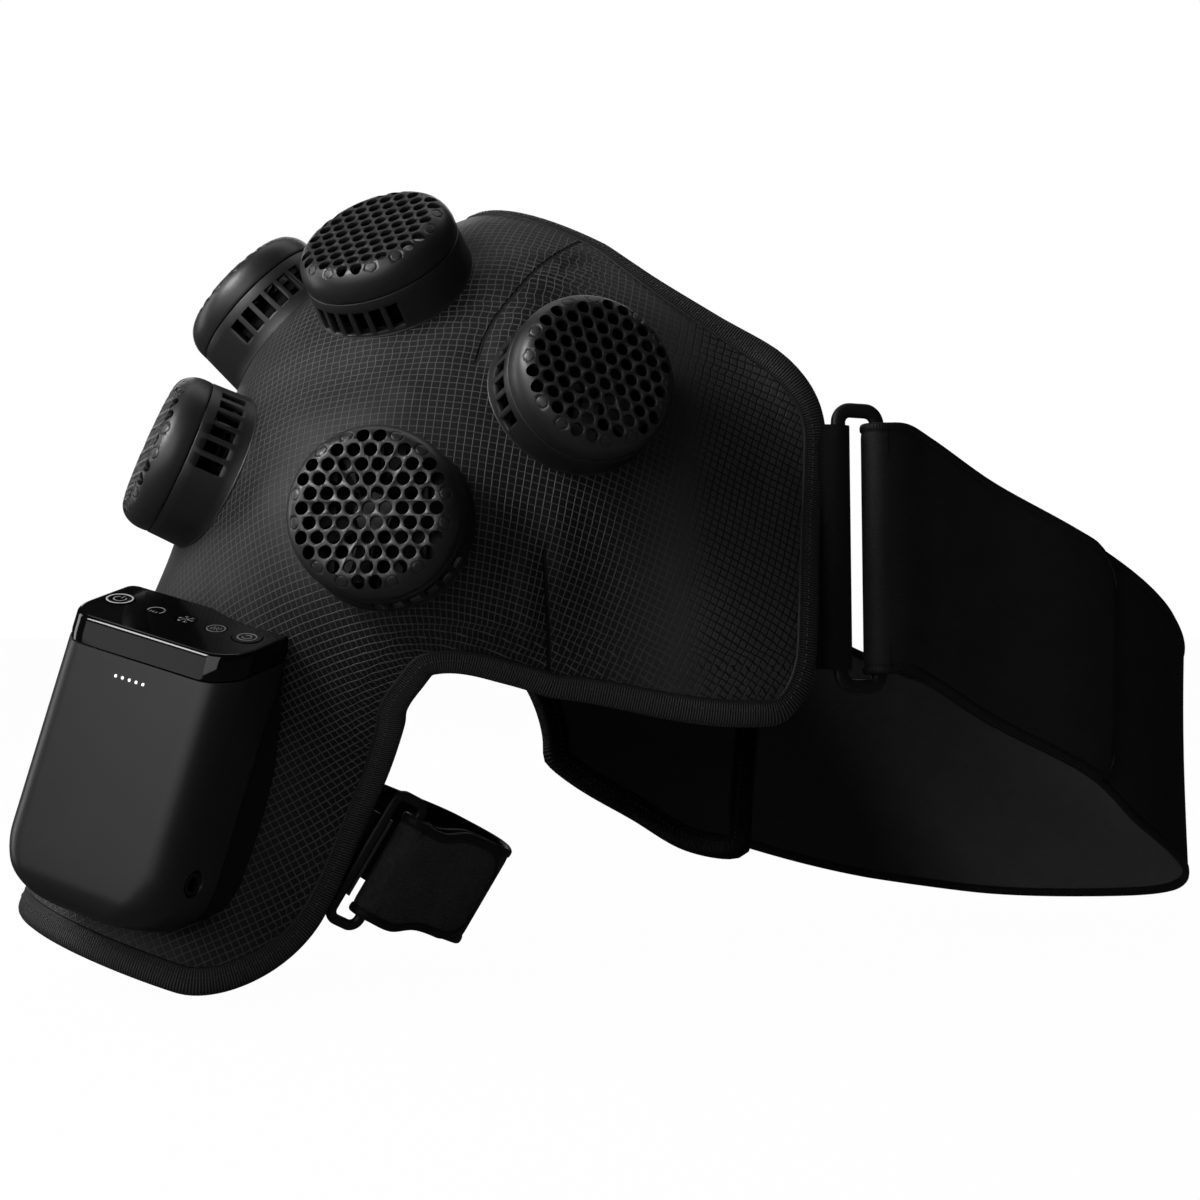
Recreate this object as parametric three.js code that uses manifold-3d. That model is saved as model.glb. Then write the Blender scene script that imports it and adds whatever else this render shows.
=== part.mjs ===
// Shoulder wrap for hot and cold contrast therapy, shown as it hangs on a left-hand arm.
// Millimetres, +Z up, +X towards the chest strap and -Y to the front. The origin is the spot on the
// lining that rests on top of the shoulder.
import * as THREE from 'three';
import { mergeVertices } from 'three/addons/utils/BufferGeometryUtils.js';
import Module from 'manifold-3d';

const wasm = await Module();
wasm.setup();

// Clearances and the overrun of every cut
const fitGap = 0.35;
const cutOverrun = 3;

// Form that the shell is moulded over: shoulder ball, upper arm, chest and shoulder top
const blendLength = 22;
const ball = { x: -30, y: -56, z: -131, radius: 60 };
const arm = { topX: -47, topY: -6, topZ: -79, topRadius: 50, endX: -120, endY: -46, endZ: -291, endRadius: 66 };
const armFlatShare = 0.78;
const chest = { x: 67, y: 23, z: -176, radiusX: 107, radiusY: 110, upperZ: 111, lowerZ: 190 };
const crest = { innerX: 105, innerY: 9, innerZ: -56, innerRadius: 60, outerX: 31, outerY: 14, outerZ: -86, outerRadius: 100 };

// Core line inside the form: up the arm, round a bend and on towards the neck. A station is a
// distance along it, and the shell's skin is found along rays that leave it square.
const core = { bendX: 21, bendZ: -209, bendRadius: 110, armLength: 113.5, neckLength: 100, hemY: -53, neckY: 10 };
const armTurn = 161;
const neckTurn = 85;
const bendLength = core.bendRadius * THREE.MathUtils.degToRad(armTurn - neckTurn);
const coreLength = core.armLength + bendLength + core.neckLength;

// Outline of the shell: stations as shares of the core line, and ray angles in degrees from the
// outer side of the arm, plus to the front and minus to the back
const frontEdgeShares = [0, 0.028, 0.083, 0.153, 0.237, 0.334, 0.417, 0.467, 0.607, 0.79, 1];
const frontEdgeAngles = [121, 132, 141, 143.5, 137, 122, 116.5, 115, 121, 124, 127.5];
const backEdgeShares = [0, 0.05, 0.17, 0.3, 0.42, 0.56, 0.67, 0.835, 0.9, 1];
const backEdgeAngles = [-108, -114, -117, -116, -116, -120, -126, -134, -141, -145];
const neckEdgeAngles = [-145, -110, -82, -68, -54, -40, -24, -10, 0, 10, 20, 34, 44, 54, 62, 75, 102, 127.5];
const neckEdgeShares = [
  0.955, 0.955, 0.948, 0.915, 0.84, 0.75, 0.68, 0.648, 0.642, 0.652, 0.684, 0.754, 0.832, 0.913, 0.948, 0.96, 0.963, 0.968,
];
const hemCorner = 44;
const chestCorner = 17;
const hemCornerShare = 0.13;
const chestCornerShare = 0.032;

// Shell and its edge tape
const shellThickness = 8;
const tapeWidth = 8.5;
const tapeRoll = 0.8;
const miterShare = 0.5;
const shellRows = 21;
const columnShares = [
  0, 0.08, 0.16, 0.231, 0.29, 0.34, 0.39, 0.44, 0.486, 0.532, 0.57, 0.605, 0.632, 0.657, 0.695, 0.73, 0.76, 0.807,
];
const cornerSteps = 3;

// Fan pods: a slotted housing, a perforated cap, a fan, a heat sink, a thermal tile and a cold plate
const podRadius = 31;
const podDraft = 0.6;
const podWall = 2;
const podSkirt = 10;
const wallHeight = 14;
const podBore = podRadius - podDraft - podWall;
const podHeight = 26.4;
const capShoulder = { lowHeight: 3.2, midHeight: 7.6, topHeight: 10.6, midInset: 1.5, topInset: 4, faceInset: 6.6 };
const capWall = 1.8;
const capFacets = 24;
const holeRadius = 2.7;
const holePitch = 6.9;
const holeRim = 0.8;
const slot = { width: 5, height: 8.6, foot: 2.6, count: 6, turn: 15 };
const fan = { hubRadius: 8.5, hubHeight: 6, hubBevel: 1.5, bladeTip: 24.5, bladeThickness: 1.1, bladeWidth: 9, blades: 7, hubFacets: 8, base: 12.2, pitch: 34 };
const spider = { bossRadius: 7.6, thickness: 2.6, armWidth: 3.2, arms: 3, pinRadius: 1.6, pinHeight: 4 };
const sink = { base: 2, thickness: 2, finHeight: 4.6, finThickness: 1.2, finPitch: 8, fins: 5, margin: 3 };
const tile = { side: 28, thickness: 3.4 };
const plate = { radius: 21, thickness: 6.2, bevel: 1.2, facets: 16 };
const pods = [
  { name: 'top', stationShare: 0.601, angle: 36, alongShare: -0.01, aroundShare: -0.02, sunk: 2.4, slotTurn: 262 },
  { name: 'chest', stationShare: 0.7179, angle: 74, alongShare: 0.05, aroundShare: 0.11, sunk: 1.4, slotTurn: 175 },
  { name: 'front', stationShare: 0.5287, angle: 91, alongShare: -0.035, aroundShare: 0.02, sunk: 1.4, slotTurn: 275 },
  { name: 'back', stationShare: 0.5259, angle: -2, alongShare: 0.04, aroundShare: 0.04, sunk: 1.4, slotTurn: 8 },
  { name: 'side', stationShare: 0.4368, angle: 32, alongShare: -0.03, aroundShare: -0.12, sunk: 1.8, slotTurn: 35 },
];

// Battery and control pack on the arm, in a flat seat of the shell
const pack = { width: 76.5, height: 101, depth: 33, topRise: 15.5, bandHeight: 9.8, wall: 2.2 };
const packCorner = { front: 12, back: 3, foot: 23, toe: 11 };
const packFacets = 4;
const packSeat = { stationShare: 0.1864, angle: 63, alongShare: -0.09, aroundShare: -0.13, turn: -13.6 };
const packSink = 5.6;
const dock = { margin: 1, inset: 2.5, plate: 1.4 };
const seatSamples = 10;
const seatToolShare = 0.2;
const panelFromBack = 14.3;
const button = { radius: 5.4, thickness: 2.4, travel: 0.6, proud: 0.3, power: -30, mode: 28.4, facets: 16 };
const icon = { radius: 3.9, depth: 1.2, pitch: 13.7, first: -12.9, count: 3, facets: 12 };
const light = { radius: 0.8, pitch: 3.1, first: -7.4, count: 5, height: 84, stripHeight: 3.4, stripDepth: 1.6, facets: 6 };
const jack = { radius: 4.2, bore: 2.9, pinRadius: 0.9, length: 9, floor: 2, sunk: 0.6, fromFoot: 22.5, fromBack: 16, facets: 12 };
const cell = { radius: 9, length: 62, count: 3, fromFoot: 7, facets: 10 };
const board = { width: 62, height: 60, thickness: 1.6, fromFoot: 25.5 };

// Rectangular rings, each held at its left bar by a tab that is sewn into the edge tape
const chestRing = { length: 110, width: 22, bar: 5.6, thickness: 3.6, corner: 5, sunk: 3 };
const chestRingSeat = { stationShare: 1.006, angle: 103.5, alongShare: -0.25, aroundShare: 0.17, turn: -1.5 };
const armRing = { length: 48, width: 17, bar: 4, thickness: 3.2, corner: 4, sunk: 3.5 };
const armRingSeat = { stationShare: 0.178, angle: 153.5, alongShare: 0, aroundShare: 0, turn: -27 };
const ringFacets = 6;
const ringCornerSteps = 3;
const ringSwing = 6;
const tab = { thickness: 1.2, reach: 9, endAngle: 35, lengthShare: 0.66, steps: 5 };

// Straps: each folds round the right bar of its ring, with its tail laid on top, and runs round to
// the far edge of the shell. The turns of its path are shares of its reach, depth and drop.
const strapThickness = 2.6;
const layerGap = 0.7;
const foldSteps = 6;
const settleLength = 24;
const foldRun = 1.5;
const chestStrap = { width: 88, reach: 146, depth: 206, drop: 108, stretch: 120, rows: 25, columns: 3 };
const chestStrapShares = [
  [0.32, 0.12, -0.19], [0.64, 0.23, -0.41], [0.87, 0.37, -0.65], [0.99, 0.55, -0.82],
  [0.985, 0.73, -0.93], [0.82, 0.9, -0.99], [0.51, 1, -1], [0.19, 0.97, -0.92],
];
const chestTailLength = 122;
const armStrap = { width: 34, reach: 34, depth: 86, drop: 18, stretch: 50, rows: 14, columns: 2 };
const armStrapShares = [
  [0.52, 0.17, -0.36], [0.87, 0.34, -0.75], [0.99, 0.55, -0.97], [0.87, 0.78, -0.86], [0.37, 0.94, -0.42],
];
const armTailLength = 46;
const tailCornerShares = [1, 0.985, 0.93];
const tailCorner = 6;
const backAnchor = { lowAngle: -145, highAngle: -117 };
const armAnchor = { lowStation: 47, highStation: 81 };
const anchorGap = 2.8;

// Looks of the pieces
const looks = {
  ripstop: { color: 0x2e2e30, roughness: 0.82, metalness: 0 },
  tape: { color: 0x222224, roughness: 0.9, metalness: 0 },
  strap: { color: 0x1b1b1c, roughness: 0.85, metalness: 0 },
  satin: { color: 0x3a3839, roughness: 0.5, metalness: 0.05 },
  casing: { color: 0x343233, roughness: 0.55, metalness: 0.05 },
  gloss: { color: 0x0b0b0c, roughness: 0.12, metalness: 0 },
  lens: { color: 0xe8e8ea, roughness: 0.3, metalness: 0 },
  rubber: { color: 0x262627, roughness: 0.6, metalness: 0 },
  alloy: { color: 0xb4b6b8, roughness: 0.35, metalness: 0.9 },
  ceramic: { color: 0xe6e4de, roughness: 0.5, metalness: 0 },
  dark: { color: 0x161616, roughness: 0.6, metalness: 0 },
  cell: { color: 0x2c6e9c, roughness: 0.4, metalness: 0 },
  board: { color: 0x1f4f35, roughness: 0.6, metalness: 0 },
};

// Joining and cutting
function solid(geometry) {
  const plain = geometry.clone();
  plain.deleteAttribute('normal');
  plain.deleteAttribute('uv');
  const merged = mergeVertices(plain, 1e-4);
  return new wasm.Manifold(new wasm.Mesh({
    numProp: 3,
    vertProperties: new Float32Array(merged.attributes.position.array),
    triVerts: new Uint32Array(merged.index.array),
  }));
}

function geometryOf(body) {
  const mesh = body.getMesh();
  const geometry = new THREE.BufferGeometry();
  geometry.setAttribute('position', new THREE.BufferAttribute(new Float32Array(mesh.vertProperties), 3));
  geometry.setIndex(new THREE.BufferAttribute(new Uint32Array(mesh.triVerts), 1));
  geometry.computeVertexNormals();
  return geometry;
}

function cut(body, tools) {
  return tools.reduce((rest, tool) => rest.subtract(solid(tool)), body);
}

function joined(parts) {
  return parts.map(solid).reduce((whole, part) => whole.add(part));
}

// A closed body from rings of points, capped at both ends or closed on itself, with its faces out
function loft(rings, closed = false) {
  const size = rings[0].length;
  const points = rings.flat();
  const faces = [];
  const steps = closed ? rings.length : rings.length - 1;
  for (let i = 0; i < steps; i++) {
    const next = (i + 1) % rings.length;
    for (let j = 0; j < size; j++) {
      const a = i * size + j;
      const b = i * size + (j + 1) % size;
      const c = next * size + j;
      const d = next * size + (j + 1) % size;
      faces.push(a, b, d, a, d, c);
    }
  }
  if (!closed) {
    const last = (rings.length - 1) * size;
    for (let j = 1; j < size - 1; j++) {
      faces.push(0, j + 1, j, last, last + j, last + j + 1);
    }
  }
  return facedOut(points, faces);
}

function facedOut(points, faces) {
  let volume = 0;
  for (let i = 0; i < faces.length; i += 3) {
    volume += points[faces[i]].dot(points[faces[i + 1]].clone().cross(points[faces[i + 2]]));
  }
  if (volume < 0) {
    faces.reverse();
  }
  const geometry = new THREE.BufferGeometry().setFromPoints(points);
  geometry.setIndex(faces);
  geometry.computeVertexNormals();
  return geometry;
}

function mesh(name, geometry, look) {
  const piece = new THREE.Mesh(geometry, new THREE.MeshStandardMaterial(looks[look]));
  piece.name = name;
  return piece;
}

function lathe(profile, facets) {
  return new THREE.LatheGeometry(profile.map(([r, z]) => new THREE.Vector2(r, z)), facets).rotateX(Math.PI / 2);
}

function disc(radius, height, facets, bottom = 0) {
  return new THREE.CylinderGeometry(radius, radius, height, facets).rotateX(Math.PI / 2).translate(0, 0, bottom + height / 2);
}

function box(width, depth, height, x = 0, y = 0, z = 0) {
  return new THREE.BoxGeometry(width, depth, height).translate(x, y, z);
}

// Smooth curve through knots, for the outline
function through(knots, values, at) {
  const last = knots.length - 1;
  let i = 0;
  while (i < last - 1 && at > knots[i + 1]) {
    i++;
  }
  const slope = (k) => {
    const low = Math.max(k - 1, 0);
    const high = Math.min(k + 1, last);
    return (values[high] - values[low]) / (knots[high] - knots[low]);
  };
  const run = knots[i + 1] - knots[i];
  const t = THREE.MathUtils.clamp((at - knots[i]) / run, 0, 1);
  const rise = values[i + 1] - values[i];
  const start = slope(i) * run;
  const end = slope(i + 1) * run;
  return values[i] + t * (start + t * (3 * rise - 2 * start - end + t * (start + end - 2 * rise)));
}

// Distance from the moulded form, minus inside
const ballCentre = new THREE.Vector3(ball.x, ball.y, ball.z);
const armTop = new THREE.Vector3(arm.topX, arm.topY, arm.topZ);
const armEnd = new THREE.Vector3(arm.endX, arm.endY, arm.endZ);
const chestCentre = new THREE.Vector3(chest.x, chest.y, chest.z);
const crestOuter = new THREE.Vector3(crest.outerX, crest.outerY, crest.outerZ);
const crestInner = new THREE.Vector3(crest.innerX, crest.innerY, crest.innerZ);

function fromTaper(point, a, b, radiusA, radiusB, flatShare = 1) {
  const line = b.clone().sub(a);
  const t = THREE.MathUtils.clamp(point.clone().sub(a).dot(line) / line.lengthSq(), 0, 1);
  const away = point.clone().sub(a).addScaledVector(line, -t);
  const ease = THREE.MathUtils.smoothstep(t, 0, 1);
  const flat = THREE.MathUtils.lerp(1, flatShare, ease);
  away.y /= flat;
  return (away.length() - THREE.MathUtils.lerp(radiusA, radiusB, ease)) * flat;
}

function fromEllipsoid(point, centre, radii) {
  const q = point.clone().sub(centre).divide(radii);
  const first = q.length();
  return first * (first - 1) / q.divide(radii).length();
}

function fromForm(point) {
  const chestZ = point.z < chest.z ? chest.lowerZ : chest.upperZ;
  const distances = [
    point.distanceTo(ballCentre) - ball.radius,
    fromTaper(point, armTop, armEnd, arm.topRadius, arm.endRadius, armFlatShare),
    fromEllipsoid(point, chestCentre, new THREE.Vector3(chest.radiusX, chest.radiusY, chestZ)),
    fromTaper(point, crestOuter, crestInner, crest.outerRadius, crest.innerRadius),
  ];
  const least = Math.min(...distances);
  const sum = distances.reduce((total, d) => total + Math.exp((least - d) / blendLength), 0);
  return least - blendLength * Math.log(sum);
}

function corePoint(station) {
  const bend = THREE.MathUtils.clamp((station - core.armLength) / bendLength, 0, 1);
  const turn = THREE.MathUtils.degToRad(THREE.MathUtils.lerp(armTurn, neckTurn, bend));
  const outward = new THREE.Vector3(Math.cos(turn), 0, Math.sin(turn));
  const along = new THREE.Vector3(Math.sin(turn), 0, -Math.cos(turn));
  const over = station - core.armLength - bend * bendLength;
  const point = new THREE.Vector3(core.bendX, 0, core.bendZ);
  point.addScaledVector(outward, core.bendRadius).addScaledVector(along, over);
  const depth = THREE.MathUtils.smoothstep(station, 0, core.armLength + bendLength);
  point.y = THREE.MathUtils.lerp(core.hemY, core.neckY, depth);
  return { point, outward, along };
}

// Point of the skin on the ray at an angle
function skin(station, angle) {
  const { point, outward } = corePoint(station);
  const turn = THREE.MathUtils.degToRad(angle);
  const ray = outward.multiplyScalar(Math.cos(turn));
  ray.y -= Math.sin(turn);
  let reach = ball.radius;
  for (let i = 0; i < 50; i++) {
    reach -= 0.9 * fromForm(point.clone().addScaledVector(ray, reach));
  }
  return point.addScaledVector(ray, reach);
}

function skinNormal(point) {
  const step = blendLength / 100;
  const normal = new THREE.Vector3();
  for (const axis of ['x', 'y', 'z']) {
    const ahead = point.clone();
    const behind = point.clone();
    ahead[axis] += step;
    behind[axis] -= step;
    normal[axis] = fromForm(ahead) - fromForm(behind);
  }
  return normal.normalize();
}

// Point of the skin moved off it, and the way past an edge there
function offSkin(station, angle, off) {
  const point = skin(station, angle);
  return point.addScaledVector(skinNormal(point), off);
}

// A seat on the skin: its place and the turned frame of what sits there, with z outwards
function seatOn({ stationShare, angle, alongShare, aroundShare, turn = 0 }, lift) {
  const station = stationShare * coreLength;
  const place = skin(station, angle);
  const step = blendLength / 20;
  const along = skin(station + step, angle).sub(skin(station - step, angle)).normalize();
  const around = skin(station, angle + 1).sub(skin(station, angle - 1)).normalize();
  const normal = skinNormal(place).addScaledVector(along, alongShare).addScaledVector(around, aroundShare).normalize();
  const seat = new THREE.Group();
  seat.position.copy(place).addScaledVector(normal, lift);
  const up = new THREE.Vector3(0, 0, 1).addScaledVector(normal, -normal.z).normalize();
  const across = up.clone().cross(normal);
  seat.quaternion.setFromRotationMatrix(new THREE.Matrix4().makeBasis(across, up, normal));
  seat.rotateZ(THREE.MathUtils.degToRad(turn));
  seat.updateMatrixWorld(true);
  return seat;
}

// Rows and columns of the shell, closer together at the rounded corners
function cornerStart(share, lengthShare, corner) {
  const into = THREE.MathUtils.clamp((share - (1 - lengthShare)) / lengthShare, 0, 1);
  return corner * (1 - Math.sqrt(1 - into * into));
}

function allColumns() {
  const columns = [...columnShares];
  for (let i = 0; i <= cornerSteps; i++) {
    columns.push(1 - hemCornerShare * (1 - Math.sin(i / (cornerSteps + 1) * Math.PI / 2)));
  }
  for (let i = 0; i <= cornerSteps; i++) {
    columns.push(1 - chestCornerShare * (1 - Math.sin(i / cornerSteps * Math.PI / 2)));
  }
  return columns.sort((a, b) => a - b);
}

function patternPoint(rowShare, columnShare) {
  const middle = THREE.MathUtils.lerp(neckEdgeAngles[0], neckEdgeAngles.at(-1), columnShare);
  const start = tapeWidth + cornerStart(columnShare, hemCornerShare, hemCorner);
  const end = coreLength * through(neckEdgeAngles, neckEdgeShares, middle) - cornerStart(columnShare, chestCornerShare, chestCorner);
  const station = THREE.MathUtils.lerp(start, end, rowShare);
  const share = station / coreLength;
  const front = through(frontEdgeShares, frontEdgeAngles, share);
  const back = through(backEdgeShares, backEdgeAngles, share);
  return { station, angle: THREE.MathUtils.lerp(back, front, columnShare) };
}

const skinGrid = Array.from({ length: shellRows + 1 }, (_, i) => allColumns().map((column) => {
  const { station, angle } = patternPoint(i / shellRows, column);
  const point = skin(station, angle);
  return { point, normal: skinNormal(point), centre: corePoint(station).point };
}));

function shellGrid(off) {
  return skinGrid.map((row) => row.map(({ point, normal }) => point.clone().addScaledVector(normal, off)));
}

const outerGrid = shellGrid(0);
const innerGrid = shellGrid(-shellThickness);

function shellBody(outer, inner) {
  const rows = outer.length;
  const columns = outer[0].length;
  const points = [...outer.flat(), ...inner.flat()];
  const faces = [];
  const at = (i, j, layer) => layer * rows * columns + i * columns + j;
  for (let i = 0; i < rows - 1; i++) {
    for (let j = 0; j < columns - 1; j++) {
      // Each cell is split along its shorter diagonal, with the same split on both faces
      const quad = [[i, j], [i + 1, j], [i + 1, j + 1], [i, j + 1]];
      const long = outer[i][j].distanceTo(outer[i + 1][j + 1]) > outer[i + 1][j].distanceTo(outer[i][j + 1]);
      const [a, b, c, d] = long ? [quad[1], quad[2], quad[3], quad[0]] : quad;
      faces.push(at(...a, 0), at(...b, 0), at(...c, 0), at(...a, 0), at(...c, 0), at(...d, 0));
      faces.push(at(...a, 1), at(...c, 1), at(...b, 1), at(...a, 1), at(...d, 1), at(...c, 1));
    }
  }
  const rim = rimOf(rows, columns);
  rim.forEach(([i, j], k) => {
    const [m, n] = rim[(k + 1) % rim.length];
    faces.push(at(i, j, 0), at(m, n, 0), at(i, j, 1), at(m, n, 0), at(m, n, 1), at(i, j, 1));
  });
  return facedOut(points, faces);
}

// The rim of a grid, once round, against the winding of its outer faces
function rimOf(rows, columns) {
  const rim = [];
  for (let j = 0; j < columns - 1; j++) {
    rim.push([0, j]);
  }
  for (let i = 0; i < rows - 1; i++) {
    rim.push([i, columns - 1]);
  }
  for (let j = columns - 1; j > 0; j--) {
    rim.push([rows - 1, j]);
  }
  for (let i = rows - 1; i > 0; i--) {
    rim.push([i, 0]);
  }
  return rim;
}

const wrap = new THREE.Group();
const shellForm = shellBody(outerGrid, innerGrid);

// Block from the skin most of the way in to the core line, to fit the pods and the dock to the shell
const seatTool = shellBody(shellGrid(fitGap), skinGrid.map((row) => row.map(({ point, centre }) => {
  return centre.clone().lerp(point, seatToolShare);
})));

// Lowest and highest skin below a rectangle of a seat, as heights above it
function skinBelow(seat, halfWidth, foot, top) {
  const heights = [];
  for (let i = 0; i <= seatSamples; i++) {
    for (let j = 0; j <= seatSamples; j++) {
      const x = THREE.MathUtils.lerp(-halfWidth, halfWidth, i / seatSamples);
      const y = THREE.MathUtils.lerp(foot, top, j / seatSamples);
      let height = ball.radius;
      for (let k = 0; k < 60; k++) {
        height -= fromForm(new THREE.Vector3(x, y, height).applyMatrix4(seat.matrixWorld));
      }
      heights.push(height);
    }
  }
  return { low: Math.min(...heights), high: Math.max(...heights) };
}

function placed(geometry, seat) {
  return geometry.clone().applyMatrix4(seat.matrixWorld);
}

function fittedTo(seat, geometry) {
  const tool = seatTool.clone().applyMatrix4(seat.matrixWorld.clone().invert());
  return geometryOf(solid(geometry).subtract(solid(tool)));
}

// Strip round the rim, from one distance past it to another, thicker than the shell by a roll
function rimStrip(near, far, roll) {
  const rim = rimOf(outerGrid.length, outerGrid[0].length);
  const rings = rim.map(([i, j], k) => {
    const [before, after] = [rim.at(k - 1), rim[(k + 1) % rim.length]];
    const outer = outerGrid[i][j];
    const inner = innerGrid[i][j];
    const across = outer.clone().sub(inner).normalize();
    const forward = outer.clone().sub(outerGrid[before[0]][before[1]]).normalize();
    const onward = outerGrid[after[0]][after[1]].clone().sub(outer).normalize();
    const away = forward.clone().add(onward).normalize().cross(across).normalize();
    const miter = Math.max(away.dot(forward.cross(across).normalize()), miterShare);
    const at = (base, aside, up) => base.clone().addScaledVector(away, aside / miter).addScaledVector(across, up);
    return [at(outer, near, roll), at(outer, far, roll / 2), at(inner, far, -roll / 2), at(inner, near, -roll)];
  });
  return loft(rings, true);
}

// Housing of a pod: a drafted wall whose foot follows the skin, with a group of vent slots
function podHousing(slotTurn) {
  const wall = lathe([
    [podRadius, -podSkirt], [podRadius, 0], [podRadius - podDraft, wallHeight],
    [podBore, wallHeight], [podBore, -podSkirt], [podRadius, -podSkirt],
  ], capFacets);
  const slots = Array.from({ length: slot.count }, (_, i) => {
    const turn = Math.round(slotTurn / slot.turn) * slot.turn + (i - slot.count / 2) * slot.turn + slot.turn / 2;
    const vent = box(4 * podWall, slot.width, slot.height, podRadius, 0, slot.foot + slot.height / 2);
    return vent.rotateZ(THREE.MathUtils.degToRad(turn));
  });
  return geometryOf(cut(solid(wall), slots));
}

// Perforated cap: a round-shouldered lid with a hexagonal field of holes
function podCap() {
  const rim = podRadius - podDraft;
  const { lowHeight, midHeight, topHeight, midInset, topInset, faceInset } = capShoulder;
  const seam = wallHeight + fitGap;
  const lid = lathe([
    [0, podHeight - capWall], [rim - faceInset, podHeight - capWall], [rim - podWall, wallHeight + lowHeight],
    [rim - podWall, seam], [rim, seam], [rim, wallHeight + lowHeight], [rim - midInset, wallHeight + midHeight],
    [rim - topInset, wallHeight + topHeight], [rim - faceInset, podHeight], [0, podHeight],
  ], capFacets);
  const reach = rim - faceInset - holeRim - holeRadius * Math.cos(Math.PI / 6);
  const hole = disc(holeRadius, 2 * cutOverrun + capWall, 6, podHeight - capWall - cutOverrun);
  const holes = holeCentres(reach).map(([x, y]) => hole.clone().translate(x, y, 0));
  return geometryOf(cut(solid(lid), holes));
}

function holeCentres(reach) {
  const centres = [];
  const count = Math.ceil(reach / holePitch) + 1;
  for (let i = -count; i <= count; i++) {
    for (let j = -count; j <= count; j++) {
      const x = holePitch * (i + j / 2);
      const y = holePitch * j * Math.sin(Math.PI / 3);
      if (Math.hypot(x, y) <= reach) {
        centres.push([x, y]);
      }
    }
  }
  return centres;
}

// Fan: a hub with a shaft hole and pitched blades
function fanRotor() {
  const top = fan.base + fan.hubHeight;
  const bore = spider.pinRadius + fitGap;
  const boreEnd = fan.base + spider.pinHeight + fitGap;
  const hub = lathe([
    [0, boreEnd], [bore, boreEnd], [bore, fan.base], [fan.hubRadius, fan.base],
    [fan.hubRadius, top - fan.hubBevel], [fan.hubRadius - fan.hubBevel, top], [0, top],
  ], fan.hubFacets);
  const span = fan.bladeTip - fan.hubRadius * 0.7;
  const blades = Array.from({ length: fan.blades }, (_, i) => {
    const blade = box(span, fan.bladeWidth, fan.bladeThickness, fan.bladeTip - span / 2);
    blade.rotateX(THREE.MathUtils.degToRad(fan.pitch)).translate(0, 0, fan.base + fan.hubHeight / 2);
    return blade.rotateZ(i / fan.blades * 2 * Math.PI);
  });
  return geometryOf(joined([hub, ...blades]));
}

// Spider that carries the fan on a pin, between the walls of the housing
function fanSpider() {
  const top = fan.base - fitGap;
  const reach = (podBore - fitGap) * Math.cos(Math.PI / capFacets);
  const boss = disc(spider.bossRadius, spider.thickness, 9, top - spider.thickness);
  const pin = disc(spider.pinRadius, spider.pinHeight + spider.thickness, 6, top - spider.thickness);
  const arms = Array.from({ length: spider.arms }, (_, i) => {
    const armBar = box(reach, spider.armWidth, spider.thickness, reach / 2, 0, top - spider.thickness / 2);
    return armBar.rotateZ(i / spider.arms * 2 * Math.PI);
  });
  return geometryOf(joined([boss, pin, ...arms]));
}

// Heat sink: a round base between the walls, with straight fins
function heatSink() {
  const radius = (podBore - fitGap) * Math.cos(Math.PI / capFacets);
  const base = disc(radius, sink.thickness, plate.facets, sink.base);
  const fins = Array.from({ length: sink.fins }, (_, i) => {
    const x = (i - (sink.fins - 1) / 2) * sink.finPitch;
    const length = 2 * Math.sqrt((radius - sink.margin) ** 2 - x * x);
    return box(sink.finThickness, length, sink.finHeight + sink.thickness / 2, x, 0, sink.base + sink.thickness + sink.finHeight / 2 - sink.thickness / 4);
  });
  return geometryOf(joined([base, ...fins]));
}

function coldPlate(topFace) {
  const low = topFace - plate.thickness;
  return lathe([
    [0, low], [plate.radius - plate.bevel, low], [plate.radius, low + plate.bevel], [plate.radius, topFace], [0, topFace],
  ], plate.facets);
}

const capForm = podCap();
const rotorForm = fanRotor();
const spiderForm = fanSpider();
const sinkForm = heatSink();
const tileTop = sink.base - fitGap;
const plateTop = tileTop - tile.thickness - fitGap;
const plateForm = coldPlate(plateTop);

const shellCuts = [];
for (const pod of pods) {
  const seat = seatOn(pod, -pod.sunk);
  seat.add(mesh(`pod_${pod.name}_housing`, fittedTo(seat, podHousing(pod.slotTurn)), 'casing'));
  seat.add(mesh(`pod_${pod.name}_cap`, capForm.clone(), 'satin'));
  seat.add(mesh(`pod_${pod.name}_fan`, rotorForm.clone(), 'dark'));
  seat.add(mesh(`pod_${pod.name}_spider`, spiderForm.clone(), 'dark'));
  seat.add(mesh(`pod_${pod.name}_heat_sink`, sinkForm.clone(), 'alloy'));
  seat.add(mesh(`pod_${pod.name}_thermal_tile`, box(tile.side, tile.side, tile.thickness, 0, 0, tileTop - tile.thickness / 2), 'ceramic'));
  seat.add(mesh(`pod_${pod.name}_cold_plate`, plateForm.clone(), 'alloy'));
  wrap.add(seat);
  shellCuts.push(placed(disc(plate.radius + fitGap, 4 * shellThickness, plate.facets, plateTop - 3 * shellThickness), seat));
  shellCuts.push(placed(disc(podBore - fitGap, shellThickness, capFacets, sink.base - fitGap), seat));
}

// Outline pieces of the pack: plan, front and side, each inset from the outer faces
function corner(shape, x, y, radius, from, steps) {
  for (let i = 0; i <= steps; i++) {
    const turn = from + i / steps * Math.PI / 2;
    shape.push([x + radius * Math.cos(turn), y + radius * Math.sin(turn)]);
  }
}

function prism(points, length) {
  const shape = new THREE.Shape(points.map(([x, y]) => new THREE.Vector2(x, y)));
  return new THREE.ExtrudeGeometry(shape, { depth: length, bevelEnabled: false }).translate(0, 0, -length / 2);
}

const packHalf = pack.width / 2;
const packReach = 2 * (pack.height + pack.depth);
const slopeShare = pack.topRise / pack.depth;

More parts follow.
